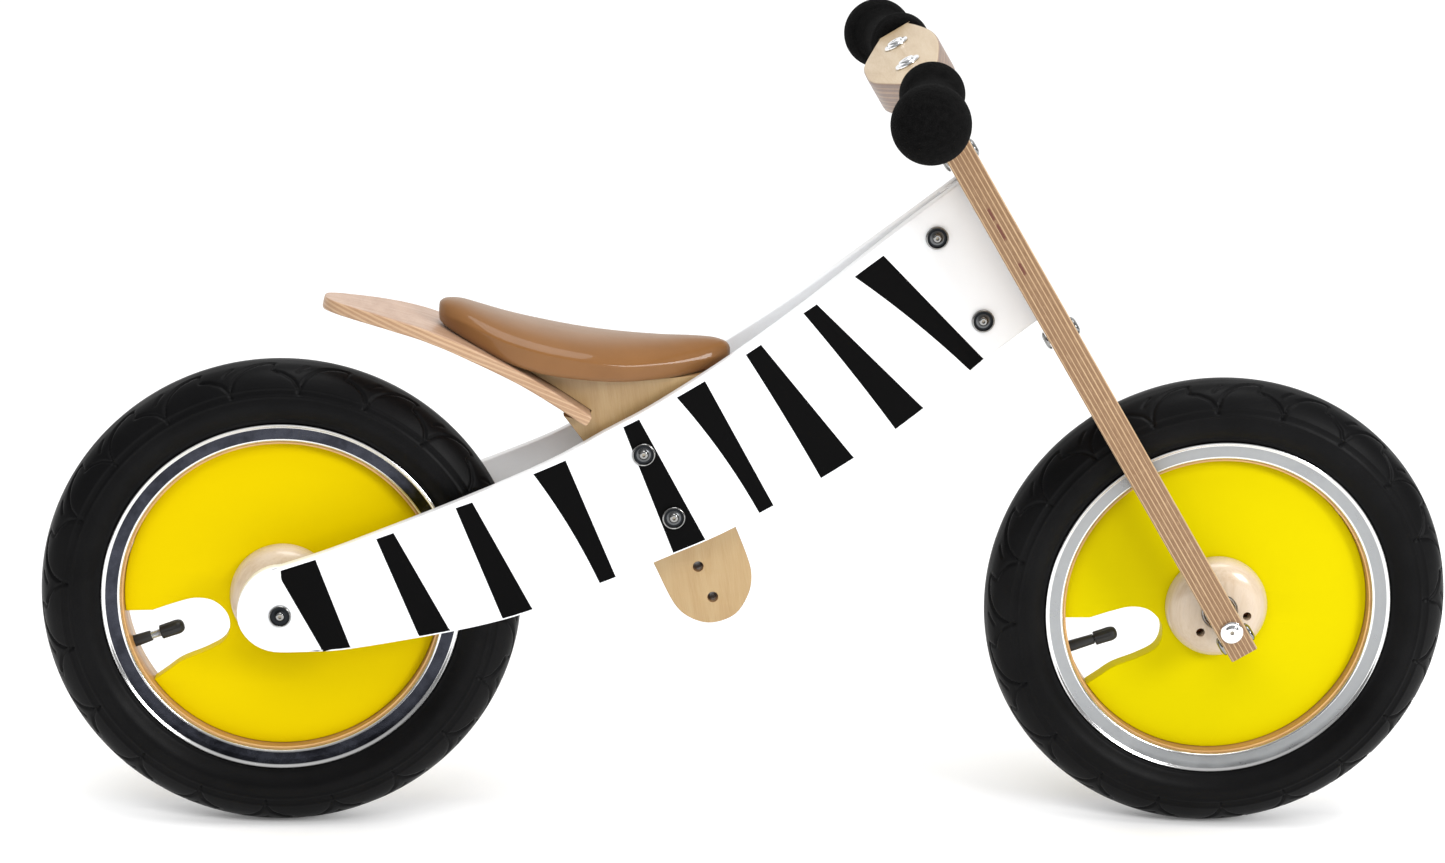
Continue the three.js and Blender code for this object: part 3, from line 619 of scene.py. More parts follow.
# ------------------------------------------------------------------ tyres
TREAD_PERIODS = 20
TREAD_COLUMNS = 44
TYRE_PROFILE = [
    (148, 0), (147.85, 2.2), (147.45, 4.3), (146.3, 8.6), (144.1, 12.8), (141.1, 16.1),
    (137.6, 18.7), (134.7, 20.4), (133.9, 20.9), (133.3, 20.55), (132.4, 20.6), (130.6, 21.0),
    (129.8, 21.25), (129.2, 21.85), (128.6, 21.95), (128.0, 21.55), (125.8, 21.75),
    (122.5, 21.8), (119.5, 20.9), (116.5, 19.1), (113.8, 17.0), (112.4, 16.2), (111.7, 16.25),
    (111.0, 15.6), (110.5, 14.7), (107, 13.4), (103.6, 12.0),
]
TYRE_INNER = [(103.6, 9.4), (110, 11.4), (118, 15.6), (126, 17.4), (134, 14.4), (139, 9.0),
              (140.5, 4.0)]
# One arch of the tread, as (share of the period, distance from the crown in mm).
ARCH = [(0.0, 30.2), (0.012, 26.5), (0.04, 23.0), (0.09, 18.8), (0.2, 14.0), (0.36, 9.6),
        (0.52, 7.8), (0.64, 8.0), (0.625, 11.5), (0.617, 14.6), (0.75, 16.4), (0.9, 20.8),
        (0.97, 25.2), (1.0, 30.2)]
DASH = [(-0.05, 15.4), (0.01, 12.6), (0.085, 9.8)]


def distance_to(line, u, t):
    """Distance from each grid point to a polyline, all in mm."""
    best = np.full(u.shape, 1e9)
    for (u0, t0), (u1, t1) in zip(line[:-1], line[1:]):
        du, dt = u1 - u0, t1 - t0
        share = np.clip(((u - u0) * du + (t - t0) * dt) / (du * du + dt * dt), 0, 1)
        best = np.minimum(best, np.hypot(u - u0 - share * du, t - t0 - share * dt))
    return best


def tread_grooves(phase, t):
    """Groove depth in mm at a share of the period and a distance from the crown."""
    length = 2 * math.pi * 138 / TREAD_PERIODS
    arch = spline(ARCH[:8], 40).tolist() + ARCH[8:]
    depth = np.zeros(phase.shape)
    for shift in (-1, 0, 1):
        for line, deepest, edge, half_width in ((arch, 1.15, 1.25, 0.95), (DASH, 0.8, 1.3, 0.8)):
            near = distance_to([((p + shift) * length, d) for p, d in line], phase * length, t)
            depth = np.maximum(depth, deepest * np.clip(edge - near / half_width, 0, 1))
    return depth * (t < 31.5)


def make_tyre(which, hub, cusp_angle):
    half = spline(TYRE_PROFILE, 900)
    lengths = lengths_along(half)
    t = np.concatenate([np.linspace(0, 32.5, 41), np.linspace(32.5, lengths[-1], 34)[1:]])
    outer = sample(half, lengths, t)
    normal = -left_normals(outer)
    columns = TREAD_PERIODS * TREAD_COLUMNS
    index = np.arange(columns)
    phase = (index % TREAD_COLUMNS) / TREAD_COLUMNS
    angles = math.radians(cusp_angle) - index * 2 * math.pi / columns
    sides = []
    for sign, shift in ((1, 0.5), (-1, 0.0)):
        groove = tread_grooves(*np.broadcast_arrays(((phase + shift) % 1)[:, None], t[None, :]))
        sides.append((outer[None, :, 0] - groove * normal[None, :, 0],
                      sign * (outer[None, :, 1] - groove * normal[None, :, 1])))
    inner = np.array([(r, -y) for r, y in TYRE_INNER] + [(r, y) for r, y in TYRE_INNER[::-1]])
    r, y = (np.hstack([left[:, ::-1], right[:, 1:], np.tile(inner[:, i], (columns, 1))])
            for i, (left, right) in enumerate(zip(*sides)))
    rings = np.stack([hub[0] + r * np.cos(angles)[:, None], y,
                      hub[2] + r * np.sin(angles)[:, None]], axis=-1)
    size = rings.shape[1]
    i = np.arange(columns)[:, None]
    k = np.arange(size)[None, :]
    j, n = (i + 1) % columns, (k + 1) % size
    faces = np.stack([i * size + k, j * size + k, j * size + n, i * size + n], -1).reshape(-1, 4)
    mesh = bpy.data.meshes.new(f"{which}_tyre_tread")
    mesh.vertices.add(columns * size)
    mesh.vertices.foreach_set("co", (rings.reshape(-1, 3) * MM).astype(np.float32).ravel())
    mesh.loops.add(len(faces) * 4)
    mesh.loops.foreach_set("vertex_index", faces.astype(np.int32).ravel())
    mesh.polygons.add(len(faces))
    mesh.polygons.foreach_set("loop_start", np.arange(len(faces), dtype=np.int32) * 4)
    mesh.update(calc_edges=True)
    mesh.materials.append(TYRE)
    if signed_volume(mesh) < 0:
        mesh.flip_normals()
    place(mesh.name, mesh, f"{which}_wheel", f"{which}_tyre", 60.0)


# ------------------------------------------------------------------ wheels
RIM_SIDE = [(99.3, 12.4), (99.1, 13.1), (99.3, 13.8), (99.9, 14.3), (100.7, 14.5),
            (104.5, 15.2), (108.0, 15.9), (108.7, 16.2), (109.2, 16.8), (109.8, 17.0),
            (110.3, 16.7), (110.4, 16.1), (110.0, 15.4), (108.6, 14.6), (104.6, 13.5),
            (103.4, 12.4), (102.7, 10.5)]
# Rings of the rim's side profile whose faces carry the painted highlight of the rolled lips.
RIM_HIGHLIGHT_RINGS = ((0, 4), (6, 12))
DISC_R = 97.0
HOOP_SIDE = [(97.2, -12.2), (97.4, -12.5), (98.4, -12.5), (98.55, -12.25), (98.7, -12.5),
             (99.1, -12.5), (99.3, -12.2)]
BAY = [(-80, -11.5), (-66, -6.5), (-54, -3.4), (-43, -5), (-35, -12), (-32.6, -21),
       (-36, -30.5), (-47, -37.4), (-62, -44), (-71.5, -51)]
BOSS = [(6.5, 6.3), (32.0, 6.3), (32.5, 6.8), (32.5, 9.5), (32.1, 12.2), (30.9, 15.0),
        (28.8, 17.4), (25.8, 19.3), (22.4, 20.5), (19.0, 21.0), (11.9, 21.0), (11.4, 20.6),
        (11.3, 13.7), (6.5, 13.7)]
BEARING_RINGS = [
    [(4.25, 14.1), (6.2, 14.1), (6.2, 20.9), (6.0, 21.0), (4.45, 21.0), (4.25, 20.8)],
    [(6.35, 14.6), (9.2, 14.6), (9.2, 20.4), (8.9, 20.55), (6.7, 20.55), (6.35, 20.4)],
    [(9.35, 14.1), (11.0, 14.1), (11.0, 20.8), (10.8, 21.0), (9.5, 21.0), (9.35, 20.9)],
]
CAP_RINGS = [(80.0, 4.0, 0), (79.6, 4.3, 0.25), (72.0, 4.4, 0.25), (71.0, 4.5, 0.2),
             (69.4, 4.6, 0.12), (67.6, 4.3, 0), (66.2, 3.6, 0), (65.3, 2.4, 0), (65.0, 1.0, 0)]
VALVE_ROOT = {"front": 80.3, "rear": 86.0}
SCREW_R = 18.0


def cut_round(piece, centre, axis, radius, reach):
    """Bore a clean round hole through a piece."""
    verts, faces = turned([(0, -reach), (radius, -reach), (radius, reach), (0, reach)],
                          centre, axis, 28, closed=False)
    mesh = bpy.data.meshes.new("borer")
    mesh.from_pydata([tuple(v) for v in verts * MM], [], faces)
    tidy(mesh)
    borer = add_object("borer", mesh)
    borer.matrix_world = piece.matrix_world
    modifier = piece.modifiers.new("bore", "BOOLEAN")
    modifier.object = borer
    modifier.operation = "DIFFERENCE"
    modifier.solver = "EXACT"
    result = final_mesh(piece)
    piece.modifiers.clear()
    old, piece.data = piece.data, result
    result.name = old.name + "_bored"
    bpy.data.meshes.remove(old)
    bpy.data.objects.remove(borer)
    result.set_sharp_from_angle(angle=math.radians(38))


def make_rim(which, hub, body):
    mirror = [(r, -y) for r, y in RIM_SIDE][::-1]
    bed = [(99.6, -9.0), (99.6, 9.0)]
    under = [(102.4, 5.0), (104.2, 0.0), (102.4, -5.0)]
    profile = RIM_SIDE + under + mirror + bed
    verts, faces = turned(profile, hub, SIDE, 180)
    # The lip rings take the pale steel as painted highlight.
    near = [any(low <= k < high for low, high in RIM_HIGHLIGHT_RINGS) for k in range(len(RIM_SIDE) - 1)]
    highlight_flags = near + [False] * (len(under) + 1) + near[::-1]
    highlight_flags += [False] * (len(profile) - len(highlight_flags))
    make_piece(f"{which}_rim_rolled", verts, faces, [RIM[which], RIM_LIP_HIGHLIGHT], body,
               f"{which}_rim", highlight_flags * 180)
    verts, faces = turned(HOOP_SIDE + [(r, -y) for r, y in HOOP_SIDE[::-1]], hub, SIDE, 180)
    make_piece(f"{which}_hoop_bent", verts, faces, [HOOP_WOOD], body, f"{which}_rim_hoop")


def make_disc(which, hub, body):
    """The round board, with a bay for the valve and a bore for the axle."""
    start = 180 + math.degrees(math.asin(56.5 / DISC_R))
    end = 180 + math.degrees(math.asin(12 / DISC_R)) + 360
    outline = arc((0, 0), DISC_R, start, end, 150) + spline(BAY, 70).tolist()
    bore = arc((0, 0), 9, 0, 360, 36)[:-1]
    cut_plate(f"{which}_disc_painted", [outline, bore], 6.0, 0.7,
              lambda x, z, t: hub + vec(x, t, z), YELLOW[which], body, f"{which}_disc")


def make_hub(which, hub, body):
    boss_wood = turned_wood(f"{which}_hub_wood", hub)
    screws = [vec(SCREW_R * math.cos(a), 0, SCREW_R * math.sin(a))
              for a in np.radians([-8, 112, 232])]
    for side, sign in SIDES:
        out = SIDE * sign
        verts, faces = turned(BOSS, hub, out)
        boss = make_piece(f"{which}_boss_{side}_turned", verts, faces, [boss_wood], body,
                          f"{which}_hub_boss_{side}")
        for at in screws:
            cut_round(boss, hub + at + out * 14, SIDE, 2.8, 9)
        verts, faces = joined(*(turned(ring, hub, out, 64) for ring in BEARING_RINGS))
        make_piece(f"{which}_bearing_{side}_races", verts, faces, [BEARING], body,
                   f"{which}_bearing_{side}")
    end = [(0, 13.5), (1.2, 14.2), (2.1, 14.0), (2.5, 13.4)]
    for number, at in enumerate(screws, 1):
        verts, faces = turned([(r, -y) for r, y in end] + end[::-1], hub + at, SIDE, 24,
                              closed=False)
        make_piece(f"{which}_screw_{number}", verts, faces, [SCREW], body,
                   f"{which}_hub_screw_{number}")


def make_wheel(which, hub):
    body = f"{which}_wheel"
    make_rim(which, hub, body)
    make_disc(which, hub, body)
    make_hub(which, hub, body)
    make_valve(which, hub, body)


def make_valve(which, hub, body):
    out = vec(math.cos(VALVE_ANGLE), 0, math.sin(VALVE_ANGLE))
    end = VALVE_ROOT[which]
    thread = [(0, 71.8)] + [(2.25 + 0.3 * (i % 2), 72 + 0.4 * i) for i in range(37)]
    root = [(0, end - 0.3), (2.6, end), (3.0, end + 0.1), (3.3, end + 0.8), (3.6, 93.0),
            (4.0, 109.0), (0, 109.2)]
    screw = turned(thread, hub, out, 32, closed=False)
    verts, faces = joined(screw, turned(root, hub, out, 40, closed=False))
    count = len(screw[1])
    make_piece(f"{which}_valve_stem_threaded", verts, faces, [ZINC, CAP], body,
               f"{which}_valve_stem", [0] * count + [1] * (len(faces) - count))
    u, v, w = basis(out)
    angles = 2 * math.pi * np.arange(48)[:, None] / 48
    rings = []
    for along, radius, rib in CAP_RINGS:
        r = radius + rib * np.cos(12 * angles)
        rings.append(hub + w * along + u * r * np.cos(angles) + v * r * np.sin(angles))
    verts, faces = skin(rings)
    make_piece(f"{which}_valve_cap_ribbed", verts, faces, [CAP], body, f"{which}_valve_cap",
               angle=50.0)


# ------------------------------------------------------------------ bolts
# A head is (radius, height) from its rim to the edge of the hexagon socket.
CUP_HEAD = [(7.2, 0.0), (7.2, 0.8), (7.0, 1.4), (6.7, 1.7), (6.35, 1.75), (6.1, 1.5),
            (5.95, 1.0), (5.6, 0.55), (4.4, 0.5), (3.2, 0.9), (2.9, 1.1), (2.75, 1.35),
            (2.5, 1.75), (2.0, 2.0), (1.5, 2.1)]
# The rings where the painted shade of the groove (black) and the painted reflection of the dish
# (grey) start, and where the dish ends.
CUP_PAINTED_SHADE_RINGS = (5, 8, 10)
AXLE_PAINTED_SHADE_RINGS = (5, 10, 10)
DOME_HEAD = [(7.2, 0.0), (7.2, 0.7), (7.0, 1.2), (6.3, 1.5), (5.6, 1.55), (5.2, 1.45),
             (4.8, 1.55), (3.9, 2.0), (3.0, 2.25), (2.0, 2.3)]
WASHER_HEAD = [(8.0, 0.0), (8.0, 0.8), (7.7, 1.2), (5.4, 1.35), (5.2, 1.4), (5.0, 2.3),
               (4.5, 2.85), (3.4, 3.0), (2.4, 2.95)]
BUTTON_HEAD = [(6.1, 0.0), (6.1, 0.6), (5.9, 1.1), (4.9, 1.8), (3.9, 2.25), (3.0, 2.4),
               (2.1, 2.35)]


def bolt_head(profile, centre, axis, socket=1.2, painted_shade_rings=(0, 0, 0)):
    """Points, faces and material numbers of one head with a hexagon socket."""
    u, v, w = basis(axis)
    segments = 48
    angles = 2 * math.pi * np.arange(segments) / segments
    hexagon = socket / np.cos((angles - 0.3) % (math.pi / 3) - math.pi / 6)
    top = profile[-1][1]
    rings = [(r * np.ones(segments), height) for r, height in profile]
    rings += [(hexagon * 1.06, top - 0.1), (hexagon, top - 0.35), (hexagon, top - 1.2)]
    verts, faces = skin([
        centre + (r * np.cos(angles))[:, None] * u + (r * np.sin(angles))[:, None] * v + height * w
        for r, height in rings])
    # Material 1 paints shade into the groove, 2 paints reflection into the dish, and 3 paints shade
    # onto the socket floor.
    numbers = [0] * painted_shade_rings[0] + [1] * (painted_shade_rings[1] - painted_shade_rings[0]) + [2] * (painted_shade_rings[2] - painted_shade_rings[1])
    numbers += [0] * (len(rings) - len(numbers))
    indices = [numbers[min(face) // segments] for face in faces[:-2 * segments]]
    return verts, faces, indices + [0, 3] * segments


def make_bolt(name, ends, radius, head, body, replaced, painted_shade_rings=(0, 0, 0), socket=1.2,
              finish=DARKENED_CHROME):
    """A through bolt with a head on each end point."""
    a, b = ends
    length = np.linalg.norm(b - a)
    axis = (b - a) / length
    shank = turned([(0, 0), (radius, 0), (radius, length), (0, length)], a, axis, 24, closed=False)
    parts, indices = [shank], [0] * len(shank[1])
    for centre, direction in ((a, -axis), (b, axis)):
        verts, faces, numbers = bolt_head(head, centre, direction, socket, painted_shade_rings)
        parts.append((verts, faces))
        indices += numbers
    verts, faces = joined(*parts)
    make_piece(name, verts, faces, [finish, GROOVE_PAINTED_SHADE, DISH_PAINTED_REFLECTION, SOCKET_PAINTED_SHADE], body, replaced,
               indices, 40.0)


def make_side_bolt(name, centre, half_w, radius, head, body, replaced, *style, **finish):
    """A through bolt across the bike, with its heads outside a part's half width."""
    reach = SIDE * (half_w + 0.3)
    make_bolt(name, (centre - reach, centre + reach), radius, head, body, replaced, *style,
              **finish)


def make_stem_bolt(side, sign):
    low, high = steer(332, 0, STEM_BOLT_Y * sign), steer(BAR_S[1] + 0.3, 0, STEM_BOLT_Y * sign)
    head, head_faces, indices = bolt_head(WASHER_HEAD, high, UP, socket=1.9)
    length = BAR_S[1] + 0.3 - 332
    shank = turned([(0, 0), (3.0, 0), (3.0, length), (0, length)], low, UP, 24, closed=False)
    verts, faces = joined((head, head_faces), shank)
    make_piece(f"stem_bolt_{side}_washer", verts, faces,
               [CHROME, GROOVE_PAINTED_SHADE, DISH_PAINTED_REFLECTION, SOCKET_PAINTED_SHADE], "fork", f"stem_bolt_{side}",
               indices + [0] * len(shank[1]), 40.0)


# ------------------------------------------------------------------ side panels
# Stations from the rear to the head: upper edge, lower edge, outside half width.
PANEL_END_N = -7.6
HEAD_TOP = steer(324.6, PANEL_END_N)
HEAD_FOOT = steer(224.5, PANEL_END_N)
STATIONS = [
    ((-296, 178.5), (-292, 124.7), REAR_HALF_W),
    ((-262, 190.5), (-251, 127.6), REAR_HALF_W),
    ((-190, 218), (-164, 142.6), 43.4),
    ((-135, 242), (-101, 165.4), 38),
    ((-101, 261), (-60, 182.6), SEAT_HALF_W),
    ((-72, 277.5), (-28, 197), SEAT_HALF_W),
    ((-26.4, 307), (16, 220), 28.4),
    ((19, 340.3), (66, 251), 21.9),
    ((60, 373.5), (112, 286), 16),
    ((84.5, 393.4), (137, 307.4), HEAD_HALF_W),
    ((HEAD_TOP[0], HEAD_TOP[2]), (HEAD_FOOT[0], HEAD_FOOT[2]), HEAD_HALF_W),
]
# Each stripe: its left edge and its right edge, from top to bottom, and how far the left edge
# is hollowed towards the right one.
STRIPES = [
    ((-297.9, 175.2), (-269.6, 125.2), (-275, 183.6), (-252.7, 127.0), 0.0),
    ((-238.8, 196.0), (-211.2, 132.8), (-228.4, 199.6), (-192.1, 136.0), 0.0),
    ((-191.2, 214.3), (-160.8, 144.0), (-181.1, 217.8), (-142.2, 149.4), 0.0),
    ((-144.4, 235.1), (-101, 165.0), (-124.8, 243.6), (-91.1, 168.8), 2.0),
    ((-90.1, 264.3), (-56.1, 184.2), (-80.5, 269.4), (-36.2, 192.6), 0.0),
    ((-57.8, 283), (-3.1, 209.3), (-40.6, 293.2), (5.5, 214.4), 2.4),
    ((-15.9, 309.4), (34.7, 231.4), (-6.6, 315.6), (56.5, 242.6), 0.6),
    ((19, 335), (81.4, 261.2), (27.3, 340.6), (100.6, 272.9), 0.8),
    ((50.2, 357.6), (127.8, 297.8), (67.9, 370.8), (136.6, 304.6), 1.8),
]
PANEL_ROWS = 26


class PanelSurface:
    """The side panel's outline, as points at (u along the panel, v from upper to lower edge)."""

    def __init__(self):
        self.top = spline([s[0] for s in STATIONS], 601)
        self.foot = spline([s[1] for s in STATIONS], 601)
        self.width = np.interp(np.linspace(0, len(STATIONS) - 1, 601),
                               np.arange(len(STATIONS)), [s[2] for s in STATIONS])
        kernel = np.hanning(41)
        padded = np.pad(self.width, 20, mode="edge")
        self.width = np.convolve(padded, kernel / kernel.sum(), mode="valid")
        self.u = np.linspace(0, 1, 601)

    def at(self, u, v):
        top = [np.interp(u, self.u, self.top[:, i]) for i in (0, 1)]
        foot = [np.interp(u, self.u, self.foot[:, i]) for i in (0, 1)]
        return vec(top[0] + (foot[0] - top[0]) * v, top[1] + (foot[1] - top[1]) * v)

    def half_width(self, u):
        return float(np.interp(u, self.u, self.width))

    def crossing(self, a, b, hollow, v):
        """Where the row v meets the line a to b, and its share of the way from a to b."""
        a, b = vec(*a), vec(*b)
        length = np.linalg.norm(b - a)
        along = (b - a) / length
        out = vec(-along[1], along[0])
        low, high = -0.05, 1.0
        for _ in range(34):
            u = (low + high) / 2
            p = self.at(u, v)
            share = np.dot(p - a, along) / length
            within = min(max(share, 0), 1)
            if np.dot(p - a, out) > hollow * 4 * within * (1 - within):
                high = u
            else:
                low = u
        return u, share

    def edge(self, a, b, hollow):
        """Rows of (u, v) down a stripe's edge: the panel's upper edge, then top to bottom."""
        low, high = 0.0, 0.5
        for _ in range(20):
            top = (low + high) / 2
            if self.crossing(a, b, hollow, top)[1] > 0:
                high = top
            else:
                low = top
        rows = np.concatenate([[0.0], np.linspace(max(top, 0.02), 1, PANEL_ROWS)])
        return np.array([(self.crossing(a, b, hollow, v)[0], v) for v in rows])


def panel_columns(surface):
    """Columns of (u, v) rows across the face, and whether black lies right of each one."""
    edges = []
    for left_top, left_foot, right_top, right_foot, hollow in STRIPES:
        edges.append((surface.edge(left_top, left_foot, hollow), True))
        edges.append((surface.edge(right_top, right_foot, 0), False))
    head = edges[-1][0].copy()
    head[:, 0] = 1
    edges.append((head, False))
    columns = []
    for (here, black), (following, _) in zip(edges[:-1], edges[1:]):
        steps = 3 if following is not head else 5
        for step in range(steps):
            columns.append((here + (following - here) * step / steps, black))
    columns.append((head, False))
    return columns


def rear_end(start, finish, count):
    """Points of the round rear end, from the upper edge to the lower."""
    body = []
    for angle in np.linspace(0, math.pi, 40)[1:-1]:
        x = -296 - 26 * math.sin(angle)
        height = 29.5 if angle < math.pi / 2 else 24.3
        body.append((x, 149 + height * math.cos(angle)))
    line = np.array([start] + [(-296, 178.5)] + body + [(-292, 124.7)] + [finish])
    lengths = lengths_along(line)
    return sample(line, lengths, np.linspace(0, lengths[-1], count))


def make_panel(side, sign):
    surface = PanelSurface()
    columns = panel_columns(surface)
    grid = [np.array([surface.at(u, v) for u, v in column]) for column, _ in columns]
    widths = [[surface.half_width(u) for u, _ in column] for column, _ in columns]
    black = [flag for _, flag in columns]
    first = grid[0]
    end = rear_end(first[0], first[-1], len(first))
    extra = [end + (first - end) * share for share in (0, 0.2, 0.5, 0.8)]
    grid = np.array(extra + grid)
    widths = np.array([[REAR_HALF_W] * len(first)] * len(extra) + widths)
    black = [False] * len(extra) + black
    cols, rows = grid.shape[:2]

    # The border, in order round the face.
    border = ([(0, r) for r in range(rows)] + [(c, rows - 1) for c in range(1, cols)]
              + [(cols - 1, r) for r in range(rows - 2, -1, -1)]
              + [(c, 0) for c in range(cols - 2, 0, -1)])
    edge = np.array([grid[c, r] for c, r in border])
    keep = [i for i in range(len(edge)) if np.linalg.norm(edge[i] - edge[i - 1]) > 1e-3]
    border = [border[i] for i in keep]
    edge = edge[keep]
    tangent = np.roll(edge, -1, 0) - np.roll(edge, 1, 0)
    outward = np.column_stack([tangent[:, 1], -tangent[:, 0]])
    outward /= np.linalg.norm(outward, axis=1)[:, None]
    if np.sum(outward * (edge - edge.mean(0))) < 0:
        outward = -outward
    radius = 1.1
    inset = grid.copy()
    for (c, r), point, normal in zip(border, edge, outward):
        inset[c, r] = point - normal * radius
    for c in range(1, 4):
        inset[c, 0], inset[c, -1] = inset[0, 0], inset[0, -1]
    inset[4, 0], inset[4, -1] = inset[0, 0] * 0.5 + inset[4, 0] * 0.5, inset[4, -1]

    def layer(points, half_w):
        return np.column_stack([points[:, 0], sign * half_w, points[:, 1]])

    flat_inset = inset.reshape(-1, 2)
    flat_width = widths.reshape(-1)
    verts = [layer(flat_inset, flat_width), layer(flat_inset, flat_width - PANEL_T)]
    faces, indices = [], []
    offset = rows * cols
    for c in range(cols - 1):
        for r in range(rows - 1):
            quad = (c * rows + r, (c + 1) * rows + r, (c + 1) * rows + r + 1, c * rows + r + 1)
            faces.append(quad)
            indices.append(1 if black[c] and r > 0 else 0)
            faces.append(tuple(i + offset for i in quad[::-1]))
            indices.append(0)
    border_width = np.array([widths[c, r] for c, r in border])
    loops = []
    steps = np.radians([22.5, 45, 67.5, 90])
    for a in steps:
        points = edge - outward * radius * (1 - math.sin(a))
        loops.append(layer(points, border_width - radius * (1 - math.cos(a))))
    for a in steps[::-1]:
        points = edge - outward * radius * (1 - math.sin(a))
        loops.append(layer(points, border_width - PANEL_T + radius * (1 - math.cos(a))))
    start = 2 * offset
    count = len(border)
    verts += loops
    outer_ids = [c * rows + r for c, r in border]
    chain = [outer_ids]
    for k in range(len(loops)):
        chain.append([start + k * count + i for i in range(count)])
    chain.append([i + offset for i in outer_ids])
    for here, there in zip(chain[:-1], chain[1:]):
        for i in range(count):
            j = (i + 1) % count
            faces.append((here[i], here[j], there[j], there[i]))
            indices.append(0)
    make_piece(f"side_panel_{side}_painted", np.vstack(verts), faces, [WHITE, BLACK], "frame",
               f"side_panel_{side}", indices, 50.0)


# ------------------------------------------------------------------ seat
TAIL_TOP = [(-272.5, 336.3), (-256.6, 333.2), (-232, 328.3), (-208, 322), (-183.6, 312.2),
            (-153.5, 297.6), (-130, 284), (-109, 270.6)]
TAIL_HALF_W = [(-272.5, 4), (-271.6, 7.5), (-270, 11), (-267, 14.5), (-262, 18.5), (-250, 25),
               (-240, 29.5), (-226, 34.5), (-205, 38.5), (-180, 39), (-150, 36), (-100, 36)]


def make_tail_board():
    line = spline(TAIL_TOP, 110)
    normals = left_normals(line)
    lengths = lengths_along(line)
    xs, widths = zip(*TAIL_HALF_W)
    radius = 1.3
    middle = -TAIL_T / 2
    across = np.linspace(-1, 1, 25)
    stops = np.concatenate([[0, 0.15, 0.5, 1.3], np.linspace(2.5, lengths[-1] - 1.3, 90),
                            lengths[-1] - np.array([0.5, 0.15, 0])])
    rings = []
    for s, p, n in zip(stops, sample(line, lengths, stops), sample(normals, lengths, stops)):
        flat = float(np.interp(p[0], xs, widths)) - radius
        from_end = min(s, lengths[-1] - s)
        inset = radius - math.sqrt(max(radius ** 2 - max(radius - from_end, 0) ** 2, 0))
        edge = [(flat + radius * math.sin(a), radius * (math.cos(a) - 1))
                for a in np.radians([30, 60, 90])]
        edge += [(y, -TAIL_T - d) for y, d in edge[::-1]]
        section = [(a * flat, 0.0) for a in across] + edge
        section += [(a * flat, -TAIL_T) for a in across[::-1]] + [(-y, d) for y, d in edge[::-1]]
        ring = []
        for y, d in section:
            point = p + n * (middle + (d - middle) * (1 - 2 * inset / TAIL_T))
            ring.append((point[0], y, point[1]))
        rings.append(ring)
    verts, faces = skin(rings)
    make_piece("tail_board_bent", verts, faces, [TAIL_WOOD], "frame", "tail_board",
               angle=45.0)


# Saddle stations: x, half width, underside, widest line, top.
SADDLE_STATIONS = [
    (-202.9, 3.0, 325.5, 328.6, 331.6),
    (-202.0, 8.0, 322.5, 328.0, 334.0),
    (-198, 14.5, 319.6, 327, 335.8),
    (-189, 22.5, 315.2, 325.0, 335.2),
    (-177, 29.5, 309.4, 320.6, 331.6),
    (-161, 35.4, 302.2, 314.8, 326.9),
    (-140, 39, 296.6, 309.6, 322.2),
    (-116, 38.6, 293.4, 305.2, 318.2),
    (-92, 34.2, 291.6, 301.6, 316.0),
    (-66, 25.6, 292.2, 301.5, 315.0),
    (-48, 18.4, 294.2, 302.5, 315.2),
    (-34, 12.6, 297, 304.2, 314.6),
    (-26.5, 8.4, 299.4, 305.4, 312.6),
    (-23.8, 5.0, 301.4, 305.8, 310.4),
    (-22.9, 2.2, 303.4, 305.9, 308.6),
]


# The saddle's crown: share of the half width, and share of the rise lost there.
SADDLE_CROWN = [(0.0, 0.0), (0.30, 0.035), (0.55, 0.15), (0.74, 0.33), (0.88, 0.58), (0.965, 0.82)]


def make_saddle():
    rings = []
    for x, half_w, low, wide, top in spline(SADDLE_STATIONS, 120):
        rise, wall = top - wide, wide - low
        tuck = min(2.6, half_w * 0.3)
        corner = min(2.2, wall * 0.4, half_w * 0.4)
        half = [(share * half_w, top - lost * rise) for share, lost in SADDLE_CROWN]
        half += [(half_w * 0.997, wide + 0.05 * rise), (half_w, wide - 0.06 * wall),
                 (half_w - 0.18 * tuck, wide - 0.3 * wall),
                 (half_w - 0.6 * tuck, low + 1.3 * corner),
                 (half_w - tuck, low + 0.55 * corner),
                 (half_w - tuck - 0.5 * corner, low + 0.12 * corner),
                 (half_w - tuck - 1.3 * corner, low), (0.45 * half_w, low), (0.0, low)]
        half = spline(half, 46)
        rings.append([(x, -y, z) for y, z in half] + [(x, y, z) for y, z in half[::-1][1:-1]])
    verts, faces = skin(rings)
    make_piece("saddle_moulded", verts, faces, [SADDLE], "frame", "saddle",
               angle=60.0)


POST_FOOT = [(-66.9, 173.6), (-53.6, 148.5), (-42.8, 138.9), (-29.2, 135.8), (-14.8, 141.4),
             (-6.9, 154.4), (-5.4, 167.4), (-9, 180.2), (-17, 198.3)]
SPARE_HOLES = [(-39.1, 172.1), (-29.2, 152.5)]


